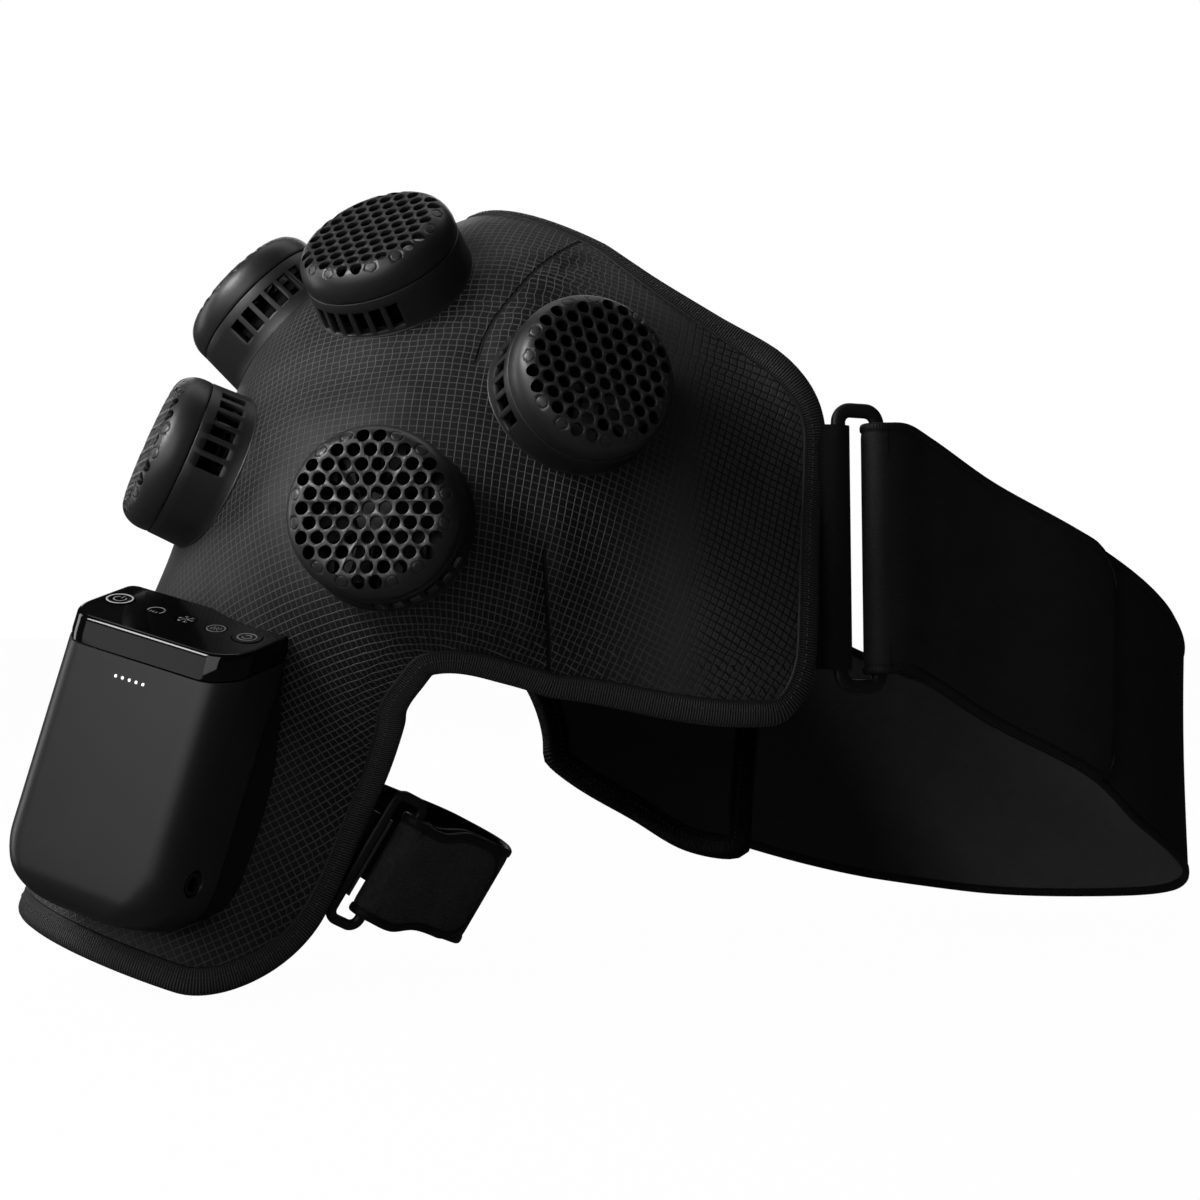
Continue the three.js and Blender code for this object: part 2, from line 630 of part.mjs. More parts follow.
function packPlan(inset) {
  const points = [];
  const front = packCorner.front - inset;
  const back = Math.max(packCorner.back - inset, fitGap);
  const side = packHalf - inset;
  corner(points, side - front, pack.depth - inset - front, front, 0, packFacets);
  corner(points, front - side, pack.depth - inset - front, front, Math.PI / 2, packFacets);
  corner(points, back - side, inset + back, back, Math.PI, 2);
  corner(points, side - back, inset + back, back, 1.5 * Math.PI, 2);
  // The plan lies in x and depth: stand it up so that the depth runs outwards
  return prism(points.map(([x, depth]) => [x, -depth]).reverse(), packReach).rotateX(-Math.PI / 2);
}

function packFront(inset) {
  const points = [];
  const foot = packCorner.foot - inset;
  const side = packHalf - inset;
  const low = inset - pack.height / 2;
  corner(points, foot - side, low + foot, foot, Math.PI, packFacets);
  corner(points, side - foot, low + foot, foot, 1.5 * Math.PI, packFacets);
  points.push([side, pack.height], [-side, pack.height]);
  return prism(points, packReach);
}

// Side outline between two slanted lines below the top, or down to the toe
function packSide(inset, topDrop, footDrop = 0) {
  const points = [];
  const high = (depth, drop) => pack.height / 2 + (pack.depth - depth) * slopeShare - drop;
  const front = pack.depth - inset;
  if (footDrop > 0) {
    points.push([inset, high(inset, footDrop)], [front, high(front, footDrop)]);
  } else {
    const toe = packCorner.toe - inset;
    const low = inset - pack.height / 2;
    points.push([inset, low]);
    corner(points, front - toe, low + toe, toe, 1.5 * Math.PI, packFacets);
  }
  points.push([front, high(front, topDrop)], [inset, high(inset, topDrop)]);
  return prism(points.map(([depth, height]) => [-depth, height]).reverse(), packReach).rotateY(Math.PI / 2);
}

function packForm(inset, topDrop, footDrop) {
  return solid(packPlan(inset)).intersect(solid(packFront(inset))).intersect(solid(packSide(inset, topDrop, footDrop)));
}

function dockOutline(inset, low, high) {
  const tall = prism(frontOutline(inset), high - low);
  return tall.translate(0, 0, (low + high) / 2);
}

function frontOutline(inset) {
  const points = [];
  const foot = packCorner.foot - inset;
  const side = packHalf - inset;
  const low = inset - pack.height / 2;
  const top = pack.height / 2 + pack.topRise - inset;
  corner(points, foot - side, low + foot, foot, Math.PI, packFacets);
  corner(points, side - foot, low + foot, foot, 1.5 * Math.PI, packFacets);
  points.push([side, top], [-side, top]);
  return points;
}

// Battery and control pack with what it holds
const packMount = seatOn(packSeat, 0);
const packSkin = skinBelow(packMount, packHalf, -pack.height / 2, pack.height / 2 + pack.topRise);
packMount.translateZ(packSkin.high - packSink);
packMount.updateMatrixWorld(true);
const dockTop = -fitGap;
const dockPlateLow = dockTop - dock.plate;
const dockDepth = packSkin.high - packSink - packSkin.low + dock.margin;
const dockFill = fittedTo(packMount, dockOutline(dock.inset, -dockDepth, dockTop));
const dockForm = solid(dockFill).add(solid(dockOutline(dock.inset, dockPlateLow, dockTop)));
shellCuts.push(placed(dockOutline(-fitGap, dockPlateLow - fitGap, dockDepth), packMount));
packMount.add(mesh('pack_dock', geometryOf(dockForm), 'rubber'));

const lightHeight = light.height - pack.height / 2;
const lightAt = (i) => light.first + i * light.pitch;
const lightIndices = Array.from({ length: light.count }, (_, i) => i);
const jackHeight = jack.fromFoot - pack.height / 2;
const jackEnd = packHalf - jack.sunk;
const bodyHoles = lightIndices.map((i) => disc(light.radius + fitGap, 3 * pack.wall, light.facets, pack.depth - 2 * pack.wall)
  .translate(lightAt(i), lightHeight, 0));
bodyHoles.push(disc(jack.radius + fitGap, 3 * pack.wall, jack.facets).rotateY(Math.PI / 2)
  .translate(packHalf - 2 * pack.wall, jackHeight, jack.fromBack));
const bodyTop = pack.bandHeight + fitGap;
const bodyForm = packForm(0, bodyTop).subtract(packForm(pack.wall, bodyTop - cutOverrun));
packMount.add(mesh('pack_body', geometryOf(cut(bodyForm, bodyHoles)), 'satin'));

// Slanted control cap with its buttons and icon windows
const panel = new THREE.Group();
const panelTilt = Math.atan2(pack.depth, pack.topRise);
panel.position.set(0, pack.height / 2 + (pack.depth - panelFromBack) * slopeShare, panelFromBack);
panel.rotation.x = -panelTilt;
packMount.add(panel);
packMount.updateMatrixWorld(true);
panel.updateMatrix();
const pocket = (x, radius, depth, facets) => disc(radius, depth + cutOverrun, facets, -depth)
  .translate(x, 0, 0).applyMatrix4(panel.matrix);
const buttonPocket = button.thickness - button.proud + button.travel + fitGap;
const iconIndices = Array.from({ length: icon.count }, (_, i) => i);
const capPockets = [button.power, button.mode].map((x) => pocket(x, button.radius + fitGap, buttonPocket, button.facets));
for (const i of iconIndices) {
  capPockets.push(pocket(icon.first + i * icon.pitch, icon.radius + fitGap, icon.depth + fitGap, icon.facets));
}
packMount.add(mesh('control_cap', geometryOf(cut(packForm(0, 0, pack.bandHeight), capPockets)), 'gloss'));
const knob = disc(button.radius, button.thickness, button.facets, button.proud - button.thickness);
panel.add(mesh('power_button', knob.clone().translate(button.power, 0, 0), 'gloss'));
panel.add(mesh('mode_button', knob.clone().translate(button.mode, 0, 0), 'gloss'));
const windowNames = ['battery_window', 'cold_window', 'heat_window'];
for (const i of iconIndices) {
  const pane = disc(icon.radius, icon.depth, icon.facets, -icon.depth).translate(icon.first + i * icon.pitch, 0, 0);
  panel.add(mesh(windowNames[i], pane, 'gloss'));
}

const stripBack = pack.depth - pack.wall - fitGap - light.stripDepth;
const stripLength = (light.count - 1) * light.pitch + 2 * light.stripHeight;
const lightStrip = box(stripLength, light.stripHeight, light.stripDepth, (lightAt(0) + lightAt(light.count - 1)) / 2,
  lightHeight, stripBack + light.stripDepth / 2);
const lightPins = lightIndices.map((i) => disc(light.radius, pack.depth - stripBack, light.facets, stripBack)
  .translate(lightAt(i), lightHeight, 0));
packMount.add(mesh('charge_lights', geometryOf(joined([lightStrip, ...lightPins])), 'lens'));

const jackForm = lathe([
  [0, -jack.length], [jack.radius, -jack.length], [jack.radius, 0], [jack.bore, 0], [jack.bore, jack.floor - jack.length],
  [jack.pinRadius, jack.floor - jack.length], [jack.pinRadius, -jack.floor], [0, -jack.floor],
], jack.facets).rotateY(Math.PI / 2).translate(jackEnd, jackHeight, jack.fromBack);
packMount.add(mesh('charge_jack', jackForm, 'rubber'));

const cellForm = disc(cell.radius, cell.length, cell.facets).rotateX(-Math.PI / 2)
  .translate(0, cell.fromFoot - pack.height / 2, pack.wall + fitGap + cell.radius);
for (let i = 0; i < cell.count; i++) {
  const x = (i - (cell.count - 1) / 2) * (2 * cell.radius + fitGap);
  packMount.add(mesh(`battery_cell_${i + 1}`, cellForm.clone().translate(x, 0, 0), 'cell'));
}
const boardBack = pack.wall + 2 * (fitGap + cell.radius);
packMount.add(mesh('circuit_board', box(board.width, board.height, board.thickness, 0,
  board.fromFoot + board.height / 2 - pack.height / 2, boardBack + board.thickness / 2), 'board'));
wrap.add(packMount);

// Ring: an oval section swept round a rectangle with round corners, about its left bar
function ringForm(ring) {
  const right = ring.width - ring.bar;
  const half = (ring.length - ring.bar) / 2;
  const path = [];
  corner(path, right - ring.corner, half - ring.corner, ring.corner, 0, ringCornerSteps);
  corner(path, ring.corner, half - ring.corner, ring.corner, Math.PI / 2, ringCornerSteps);
  corner(path, ring.corner, ring.corner - half, ring.corner, Math.PI, ringCornerSteps);
  corner(path, right - ring.corner, ring.corner - half, ring.corner, 1.5 * Math.PI, ringCornerSteps);
  const turnOf = (i) => (Math.floor(i / (ringCornerSteps + 1)) + (i % (ringCornerSteps + 1)) / ringCornerSteps) * Math.PI / 2;
  const rings = path.map(([x, y], i) => Array.from({ length: ringFacets }, (_, k) => {
    const around = (k + 0.5) / ringFacets * 2 * Math.PI;
    const out = ring.bar / 2 * Math.cos(around);
    return new THREE.Vector3(x + out * Math.cos(turnOf(i)), y + out * Math.sin(turnOf(i)), ring.thickness / 2 * Math.sin(around));
  }));
  return loft(rings, true);
}

// Tab: a strip from the edge tape that goes behind the left bar and curls round it
function tabForm(ring, seat) {
  const edge = (spread) => {
    const halfWidth = ring.bar / 2 + fitGap + spread;
    const halfDepth = ring.thickness / 2 + fitGap + spread;
    const points = [[-tab.reach, -halfDepth]];
    for (let i = 0; i <= tab.steps; i++) {
      const turn = THREE.MathUtils.degToRad(THREE.MathUtils.lerp(-90, tab.endAngle, i / tab.steps));
      points.push([halfWidth * Math.cos(turn), halfDepth * Math.sin(turn)]);
    }
    return points;
  };
  const profile = [...edge(tab.thickness), ...edge(0).reverse()];
  const strip = prism(profile.map(([x, z]) => [x, -z]).reverse(), ring.length * tab.lengthShare).rotateX(-Math.PI / 2);
  const tool = rimStrip(-tapeWidth, tapeWidth + fitGap, tapeRoll + fitGap).applyMatrix4(seat.matrixWorld.clone().invert());
  return geometryOf(solid(strip).subtract(solid(tool)));
}

// A band of cloth from rows of points across it
function band(rows, thickness) {
  const moved = (side) => rows.map((row, i) => row.map((point, j) => {
    const along = rows[Math.min(i + 1, rows.length - 1)][j].clone().sub(rows[Math.max(i - 1, 0)][j]);
    const across = row[Math.min(j + 1, row.length - 1)].clone().sub(row[Math.max(j - 1, 0)]);
    return point.clone().addScaledVector(along.cross(across).normalize(), side * thickness / 2);
  }));
  return shellBody(moved(1), moved(-1));
}

// Middle line of a strap from the right bar of its ring, with the frame at each place
function strapCourse(ring, seat, strap, shares, anchor) {
  const start = new THREE.Vector3(ring.width - ring.bar, 0, 0).applyMatrix4(seat.matrixWorld);
  const [right, up] = [new THREE.Vector3(), new THREE.Vector3()];
  seat.matrixWorld.extractBasis(right, up, new THREE.Vector3());
  const turns = shares.map(([x, y, z]) => start.clone().add(new THREE.Vector3(x * strap.reach, y * strap.depth, z * strap.drop)));
  const end = anchor[0].clone().add(anchor.at(-1)).divideScalar(2);
  const lead = start.clone().addScaledVector(right, settleLength / 2);
  const curve = new THREE.CatmullRomCurve3([start, lead, ...turns, end], false, 'centripetal');
  const length = curve.getLength();
  return {
    length,
    at(distance) {
      const share = Math.min(distance / length, 1);
      const point = curve.getPointAt(share);
      const along = distance > 0 ? curve.getTangentAt(share) : right.clone();
      const ease = THREE.MathUtils.smoothstep(distance, 0, 3 * settleLength);
      const across = up.clone().addScaledVector(along, -up.dot(along) * ease).normalize();
      return { point, along, across, out: along.clone().cross(across).normalize() };
    },
  };
}

function rowAcross({ point, across }, width, columns) {
  return Array.from({ length: columns + 1 }, (_, j) => point.clone().addScaledVector(across, (j / columns - 0.5) * width));
}

function strapPieces(name, ring, ringSeat, strap, shares, tailLength, anchor) {
  const seat = seatOn(ringSeat, -ring.sunk);
  seat.add(mesh(`${name}_ring`, ringForm(ring), 'rubber'));
  seat.add(mesh(`${name}_ring_tab`, tabForm(ring, seat), 'tape'));
  wrap.add(seat);

  const course = strapCourse(ring, seat, strap, shares, anchor);
  const room = (ring.width - ring.bar) * Math.sin(THREE.MathUtils.degToRad(ringSwing));
  const foldSag = Math.cos(Math.PI / (2 * foldSteps));
  const foldWidth = (ring.bar / 2 + fitGap + strapThickness / 2) / foldSag;
  const foldDepth = (ring.thickness / 2 + fitGap + room + strapThickness / 2) / foldSag;
  const layerDepth = (strapThickness + layerGap) / 2;
  const depthAt = (distance) => THREE.MathUtils.lerp(foldDepth, layerDepth, THREE.MathUtils.smoothstep(distance, 0, settleLength));
  const layer = (distance, side) => {
    const frame = course.at(distance);
    frame.point = frame.point.clone().addScaledVector(frame.out, side * depthAt(distance));
    return rowAcross(frame, strap.width, strap.columns);
  };

  const rows = [];
  const endRow = layer(course.length, -1);
  for (let i = strap.rows; i > 0; i--) {
    const distance = course.length * (i / strap.rows);
    const pull = THREE.MathUtils.smoothstep(distance, course.length - strap.stretch, course.length);
    rows.push(layer(distance, -1).map((point, j) => point.addScaledVector(anchor[j].clone().sub(endRow[j]), pull)));
  }
  const bar = course.at(0);
  for (let i = 0; i <= foldSteps; i++) {
    const turn = -Math.PI / 2 - i / foldSteps * Math.PI;
    const point = bar.point.clone().addScaledVector(bar.along, foldWidth * Math.cos(turn)).addScaledVector(bar.out, foldDepth * Math.sin(turn));
    rows.push(rowAcross({ point, across: bar.across }, strap.width, strap.columns));
  }
  rows.push(layer(foldRun, 1));
  wrap.add(mesh(`${name}_strap`, band(rows, strapThickness), 'strap'));

  const tailRows = [];
  const steps = Math.ceil(strap.rows * (tailLength / course.length)) + 1;
  for (let i = 0; i <= steps; i++) {
    tailRows.push(layer(foldRun + fitGap + (tailLength - tailCorner - foldRun) * (i / steps), 1));
  }
  tailCornerShares.forEach((share, i) => {
    const frame = course.at(tailLength - tailCorner + (i + 1) / tailCornerShares.length * tailCorner);
    frame.point = frame.point.clone().addScaledVector(frame.out, layerDepth);
    tailRows.push(rowAcross(frame, strap.width * share, strap.columns));
  });
  wrap.add(mesh(`${name}_strap_tail`, band(tailRows.reverse(), strapThickness), 'strap'));
}

// Rows where the straps are sewn into the edge tape: on the back panel and on the back of the sleeve
const chestAnchor = Array.from({ length: chestStrap.columns + 1 }, (_, j) => {
  const angle = THREE.MathUtils.lerp(backAnchor.lowAngle, backAnchor.highAngle, j / chestStrap.columns);
  const station = coreLength * through(neckEdgeAngles, neckEdgeShares, angle);
  const edge = offSkin(station, angle, -shellThickness / 2);
  const away = offSkin(station + fitGap, angle, -shellThickness / 2).sub(edge).normalize();
  return edge.addScaledVector(away, tapeWidth + anchorGap);
});
const armAnchorRow = Array.from({ length: armStrap.columns + 1 }, (_, j) => {
  const station = THREE.MathUtils.lerp(armAnchor.lowStation, armAnchor.highStation, j / armStrap.columns);
  const angle = through(backEdgeShares, backEdgeAngles, station / coreLength);
  const edge = offSkin(station, angle, -shellThickness / 2);
  const away = offSkin(station, angle - 1, -shellThickness / 2).sub(edge).normalize();
  return edge.addScaledVector(away, tapeWidth + anchorGap);
});
strapPieces('chest', chestRing, chestRingSeat, chestStrap, chestStrapShares, chestTailLength, chestAnchor);
strapPieces('arm', armRing, armRingSeat, armStrap, armStrapShares, armTailLength, armAnchorRow);

wrap.add(mesh('shell', geometryOf(cut(solid(shellForm), shellCuts)), 'ripstop'));
wrap.add(mesh('edge_tape', rimStrip(fitGap, tapeWidth, tapeRoll), 'tape'));

export default wrap;
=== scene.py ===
import math

import bmesh
import bpy
import numpy as np
from mathutils import Matrix, Vector


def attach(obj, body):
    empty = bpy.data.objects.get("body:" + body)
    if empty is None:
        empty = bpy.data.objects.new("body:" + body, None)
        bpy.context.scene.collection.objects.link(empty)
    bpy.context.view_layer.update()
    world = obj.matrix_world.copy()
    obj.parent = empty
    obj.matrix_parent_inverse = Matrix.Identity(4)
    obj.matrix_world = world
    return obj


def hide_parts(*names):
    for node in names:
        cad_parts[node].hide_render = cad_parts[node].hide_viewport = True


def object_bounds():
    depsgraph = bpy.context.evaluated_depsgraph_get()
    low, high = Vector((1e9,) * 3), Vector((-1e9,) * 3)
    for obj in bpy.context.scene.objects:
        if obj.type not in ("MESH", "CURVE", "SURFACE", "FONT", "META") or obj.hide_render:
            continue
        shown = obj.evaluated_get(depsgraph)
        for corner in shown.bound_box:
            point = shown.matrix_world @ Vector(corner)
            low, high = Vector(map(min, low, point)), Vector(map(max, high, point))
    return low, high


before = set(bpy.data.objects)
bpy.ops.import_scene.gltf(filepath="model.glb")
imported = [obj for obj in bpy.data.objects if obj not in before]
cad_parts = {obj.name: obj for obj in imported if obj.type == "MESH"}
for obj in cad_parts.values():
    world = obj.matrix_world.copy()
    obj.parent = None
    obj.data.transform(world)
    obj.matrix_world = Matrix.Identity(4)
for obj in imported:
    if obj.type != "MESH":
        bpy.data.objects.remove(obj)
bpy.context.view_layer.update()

# The scene's metres hold the frame of the model; shapes here are worked out in millimetres.
scene = bpy.context.scene
scene.view_settings.view_transform = "Standard"
MM = 0.001
ROOT = "wrap"


# ---------------------------------------------------------------- camera and studio
CAMERA_PLACE, SENSOR, LENS, FARTHEST = (0.040, -0.930, -0.144), 36, 70.11, 40
OBJECT_MIDDLE, PACK_MIDDLE = (0.04, 0.0, -0.14), (-0.12, -0.10, -0.20)
# Place, aim, size and watts of each lamp
LAMPS = {
    "key_softbox": ((-0.92, -0.55, 0.66), OBJECT_MIDDLE, (0.45, 0.45), 14.0),
    "front_softbox": ((-0.55, -1.15, 0.30), OBJECT_MIDDLE, (0.9, 0.9), 6.0),
    "top_softbox": ((0.10, 0.45, 1.00), OBJECT_MIDDLE, (1.2, 0.5), 2.0),
    "left_card": ((-0.90, -0.61, 0.02), PACK_MIDDLE, (0.5, 0.45), 0.9),
    "back_softbox": ((-0.20, 1.30, 0.35), OBJECT_MIDDLE, (1.0, 0.8), 5.0),
    "left_strip": ((-1.15, 0.30, 0.20), OBJECT_MIDDLE, (0.30, 1.1), 3.5),
}


def make_camera():
    data = bpy.data.cameras.new("camera")
    data.sensor_width, data.lens, data.clip_end = SENSOR, LENS, FARTHEST
    camera = bpy.data.objects.new("camera", data)
    camera.location = CAMERA_PLACE
    camera.rotation_euler = (math.pi / 2, 0, 0)
    scene.collection.objects.link(camera)
    scene.camera = camera


def make_lamp(name, place, target, size, watts):
    data = bpy.data.lights.new(name, "AREA")
    data.shape = "RECTANGLE"
    data.size, data.size_y = size
    data.energy = watts
    lamp = bpy.data.objects.new(name, data)
    lamp.location = place
    lamp.rotation_euler = (Vector(target) - Vector(place)).to_track_quat("-Z", "Y").to_euler()
    scene.collection.objects.link(lamp)


make_camera()
for lamp_name, lamp_row in LAMPS.items():
    make_lamp(lamp_name, *lamp_row)


# ---------------------------------------------------------------- node trees
class Value:
    """A socket of a node tree. Sums on it become Math nodes."""

    def __init__(self, owner, socket):
        self.owner = owner
        self.socket = socket

    def math(self, operation, *others):
        return self.owner.math(operation, self, *others)

    def __add__(self, other):
        return self.math("ADD", other)

    def __sub__(self, other):
        return self.math("SUBTRACT", other)

    def __rsub__(self, other):
        return self.owner.math("SUBTRACT", other, self)

    def __mul__(self, other):
        return self.math("MULTIPLY", other)

    def __truediv__(self, other):
        return self.math("DIVIDE", other)

    def __abs__(self):
        return self.math("ABSOLUTE")

    __radd__ = __add__
    __rmul__ = __mul__

    def most(self, other):
        return self.math("MAXIMUM", other)

    def least(self, other):
        return self.math("MINIMUM", other)

    def above(self, other):
        return self.math("GREATER_THAN", other)

    def off_middle(self, pitch):
        """How far a place is from the middle of its square, 0 to 0.5."""
        return abs((self / pitch).math("FRACT") - 0.5)

    def wave(self, pitch):
        return (self * (2 * math.pi / pitch)).math("SINE")

    def rise(self, low, high):
        """0 below low, 1 above high, smooth between."""
        sockets = {"Value": self, "From Min": low, "From Max": high}
        return self.owner.node("ShaderNodeMapRange", {"interpolation_type": "SMOOTHSTEP"}, sockets)


class Tree:
    """Nodes of a material or of a geometry group."""

    def node(self, kind, settings=None, sockets=None, out=0):
        made = self.tree.nodes.new(kind)
        for key, value in (settings or {}).items():
            setattr(made, key, value)
        for key, value in (sockets or {}).items():
            for one in value if isinstance(value, list) else [value]:
                if isinstance(one, Value):
                    self.tree.links.new(one.socket, made.inputs[key])
                else:
                    made.inputs[key].default_value = one
        return Value(self, made.outputs[out] if made.outputs else None)

    def math(self, operation, *values):
        return self.node("ShaderNodeMath", {"operation": operation}, dict(enumerate(values)))

    def parts(self, vector):
        split = self.node("ShaderNodeSeparateXYZ", sockets={0: vector})
        return [Value(self, output) for output in split.socket.node.outputs]


class Finish(Tree):
    """The nodes of a material, or of the world."""

    def __init__(self, name, kind="materials"):
        self.made = getattr(bpy.data, kind).new(name)
        self.made.use_nodes = True
        self.tree = self.made.node_tree
        self.tree.nodes.clear()

    def mix(self, share, first, second):
        return self.node("ShaderNodeMix", {"data_type": "RGBA"}, {0: share, 6: first, 7: second}, 2)

    def place(self):
        return self.node("ShaderNodeTexCoord", out=3)

    def cloth(self):
        """Millimetres along and across a cloth, from the piece's own map."""
        return self.parts(self.node("ShaderNodeUVMap", {"uv_map": "cloth"}))[:2]

    def mark(self, name):
        return self.node("ShaderNodeAttribute", {"attribute_name": name}, out=2)

    def rays(self, *kinds):
        """1 for rays of each kind, 0 for others."""
        path = self.node("ShaderNodeLightPath").socket.node
        return [Value(self, path.outputs[f"Is {kind} Ray"]) for kind in kinds]

    def noise(self, size, detail=2.0, rough=0.5, stretch=None):
        """Uneven 0 to 1, with features of a size in metres."""
        place = self.place()
        if stretch:
            place = self.node("ShaderNodeMapping", sockets={"Vector": place, "Scale": stretch})
        sockets = {"Vector": place, "Scale": 1 / size, "Detail": detail, "Roughness": rough}
        return self.node("ShaderNodeTexNoise", sockets=sockets)

    def specks(self, size):
        return self.node("ShaderNodeTexVoronoi", sockets={"Vector": self.place(), "Scale": 1 / size})

    def bump(self, height, depth, strength=1.0):
        return self.node("ShaderNodeBump", sockets={"Height": height, "Distance": depth, "Strength": strength})

    def shine(self, base, roughness, normal=None, **settings):
        """Ends the tree in a Principled shader. Names are its sockets', with _ for a space."""
        sockets = {"Base Color": base, "Roughness": roughness}
        if normal:
            sockets["Normal"] = normal
        sockets.update({key.replace("_", " "): value for key, value in settings.items()})
        shader = self.node("ShaderNodeBsdfPrincipled", sockets=sockets)
        self.node("ShaderNodeOutputMaterial", sockets={0: shader})
        return self.made


class Maker(Tree):
    """A geometry tree with named inputs. It is run on an object, which keeps the plain mesh."""

    def __init__(self, name, counts=(), lengths=()):
        self.tree = bpy.data.node_groups.new(name, "GeometryNodeTree")
        face = self.tree.interface
        face.new_socket("Geometry", in_out="INPUT", socket_type="NodeSocketGeometry")
        self.names = {}
        for titles, kind in ((counts, "NodeSocketInt"), (lengths, "NodeSocketFloat")):
            for title in titles:
                self.names[title] = face.new_socket(title, in_out="INPUT", socket_type=kind).identifier
        face.new_socket("Geometry", in_out="OUTPUT", socket_type="NodeSocketGeometry")
        self.entry = self.tree.nodes.new("NodeGroupInput")
        self.exit = self.tree.nodes.new("NodeGroupOutput")

    def given(self, title):
        return Value(self, self.entry.outputs[title])

    def vector(self, *parts):
        return self.node("ShaderNodeCombineXYZ", sockets=dict(enumerate(parts)))

    def length(self, vector):
        return self.node("ShaderNodeVectorMath", {"operation": "LENGTH"}, {0: vector}, 1)

    def copies(self, points, instance, **sockets):
        sockets.update(Points=points, Instance=instance)
        return self.node("GeometryNodeInstanceOnPoints", sockets=sockets)

    def real(self, instances):
        return self.node("GeometryNodeRealizeInstances", sockets={0: instances})

    def minus(self, solid, tool):
        return self.node("GeometryNodeMeshBoolean", {"operation": "DIFFERENCE", "solver": "EXACT"},
                         {"Mesh 1": solid, "Mesh 2": tool})

    def end(self, geometry, look):
        sockets = {"Geometry": self.real(geometry), "Material": look}
        done = self.node("GeometryNodeSetMaterial", sockets=sockets)
        self.tree.links.new(done.socket, self.exit.inputs[0])

    def run(self, made, **values):
        modifier = made.modifiers.new(self.tree.name, "NODES")
        modifier.node_group = self.tree
        for title, value in values.items():
            modifier[self.names[title]] = value
        keep_result(made, modifier)


# ---------------------------------------------------------------- finishes
def grey(level, warm=0.0):
    """A near-neutral colour from its linear level."""
    return (level * (1 + warm), level, level * (1 - warm), 1)


def ripstop_cloth():
    """Cloth with raised threads in squares, with painted light: the threads are painted as pale highlights on a
    shaded dark ground, stronger towards the top, and on the chest as dark painted shade on a paler lit ground.
    """
    f = Finish("ripstop_cloth")
    u, v = f.cloth()
    square, yarn = 2.75, 0.52
    x, _, z = f.parts(f.place())
    # Painted light: chest marks where the threads turn to painted shade on a paler ground, and high brightens
    # the painted thread highlights towards the top.
    chest, high = x.rise(0.030, 0.085), z.rise(-0.14, -0.05)
    line = (u.off_middle(square).most(v.off_middle(square)) + chest * 0.035).rise(0.40, 0.47)
    weave = (u.wave(yarn) * v.wave(yarn)) * 0.5 + 0.5
    uneven, fine = f.noise(0.018, 3), f.noise(0.0009, 2)
    seam = (1 - abs(f.mark("seam")).rise(0.45, 1.05)) * f.mark("seam_on")
    height = line * (0.9 - chest * 1.5) + weave * 0.16 + fine * 0.2 - seam * 6.0
    # Painted light: the ground is painted darker off the chest and paler on it; the threads are pale painted
    # highlights off the chest and dark painted shade on it.
    dark, pale = f.mix(uneven, grey(0.0014), grey(0.0034)), f.mix(uneven, grey(0.0150), grey(0.0230))
    threads = f.mix(chest, grey(0.085), grey(0.0020))
    strength = (uneven * 0.5 + 0.5) * (high * 0.45 + 0.55)
    colour = f.mix(line * strength.most(chest), f.mix(chest, dark, pale), threads)
    # Painted shade: the seam's furrow is darkened along its line.
    colour = f.mix(seam, colour, grey(0.0004))
    rough = 0.44 + uneven * 0.10 - line * 0.08 + chest * 0.08 + fine * 0.06 + seam * 0.3
    return f.shine(colour, rough, f.bump(height, 0.00022, 0.85), Specular_IOR_Level=0.30)


def lining_cloth():
    f = Finish("lining_cloth")
    u, v = f.cloth()
    knit = abs(u.wave(1.1) * v.wave(1.3))
    fine, uneven = f.noise(0.0012, 3), f.noise(0.03, 2)
    colour = f.mix(uneven * 0.6 + knit * 0.4, grey(0.006), grey(0.012))
    normal = f.bump(knit + fine * 0.6, 0.00015, 0.6)
    return f.shine(colour, 0.72 + fine * 0.12, normal, Specular_IOR_Level=0.15, Sheen_Weight=0.05)


def ribbed_tape():
    """Woven binding: ribs across its body, a plain lip, and painted shade that darkens it on the far wing."""
    f = Finish("ribbed_tape")
    u, v = f.cloth()
    rib, body = u.wave(0.95) * 0.5 + 0.5, v.rise(1.8, 2.6)
    # Painted shade: far marks the far wing, behind the shell, where the binding is darkened.
    far = f.parts(f.place())[1].rise(0.05, 0.09)
    fine, uneven = f.noise(0.0007, 2), f.noise(0.02, 2)
    colour = f.mix(uneven, grey(0.0036), grey(0.0070))
    colour = f.mix(rib * rib * body, colour, grey(0.034))
    colour = f.mix((1 - body) * 0.6, colour, grey(0.010))
    colour = f.mix(far, colour, grey(0.0010))
    normal = f.bump(rib * body + fine * 0.35, 0.00030, 1.0)
    return f.shine(colour, 0.52 + fine * 0.15, normal, Specular_IOR_Level=0.20)


def strap_cloth():
    """Strap cloth, with a smoother inner side that is lighter, partly its own colour and partly painted light,
    and painted shadow across its far bend.
    """
    f = Finish("strap_cloth")
    u, v = f.cloth()
    cord, bound = v.wave(0.8) * 0.5 + 0.5, f.mark("bound")
    fine, uneven = f.noise(0.0011, 3, 0.7), f.noise(0.012, 4, 0.65)
    x, _, z = f.parts(f.place())
    # Painted shadow: the lining is pale below a line that slants across the far bend and darkened above it. Its
    # pale level is partly painted light too.
    lit = (x + (z + 0.197) * 0.66).rise(0.120, 0.180)
    colour = f.mix(uneven, grey(0.0075), grey(0.0120))
    lining = f.mix(uneven, grey(0.050), grey(0.066))
    colour = f.mix(f.mark("lined") * (lit * 0.9 + 0.1), colour, lining)
    colour = f.mix(bound, colour, grey(0.0080))
    relief = cord * (1 - bound) * 0.4 + fine + u.wave(0.9) * bound * 0.4
    rough = 0.60 + fine * 0.14 - bound * 0.14
    return f.shine(colour, rough, f.bump(relief, 0.00016, 0.8), Specular_IOR_Level=0.10)


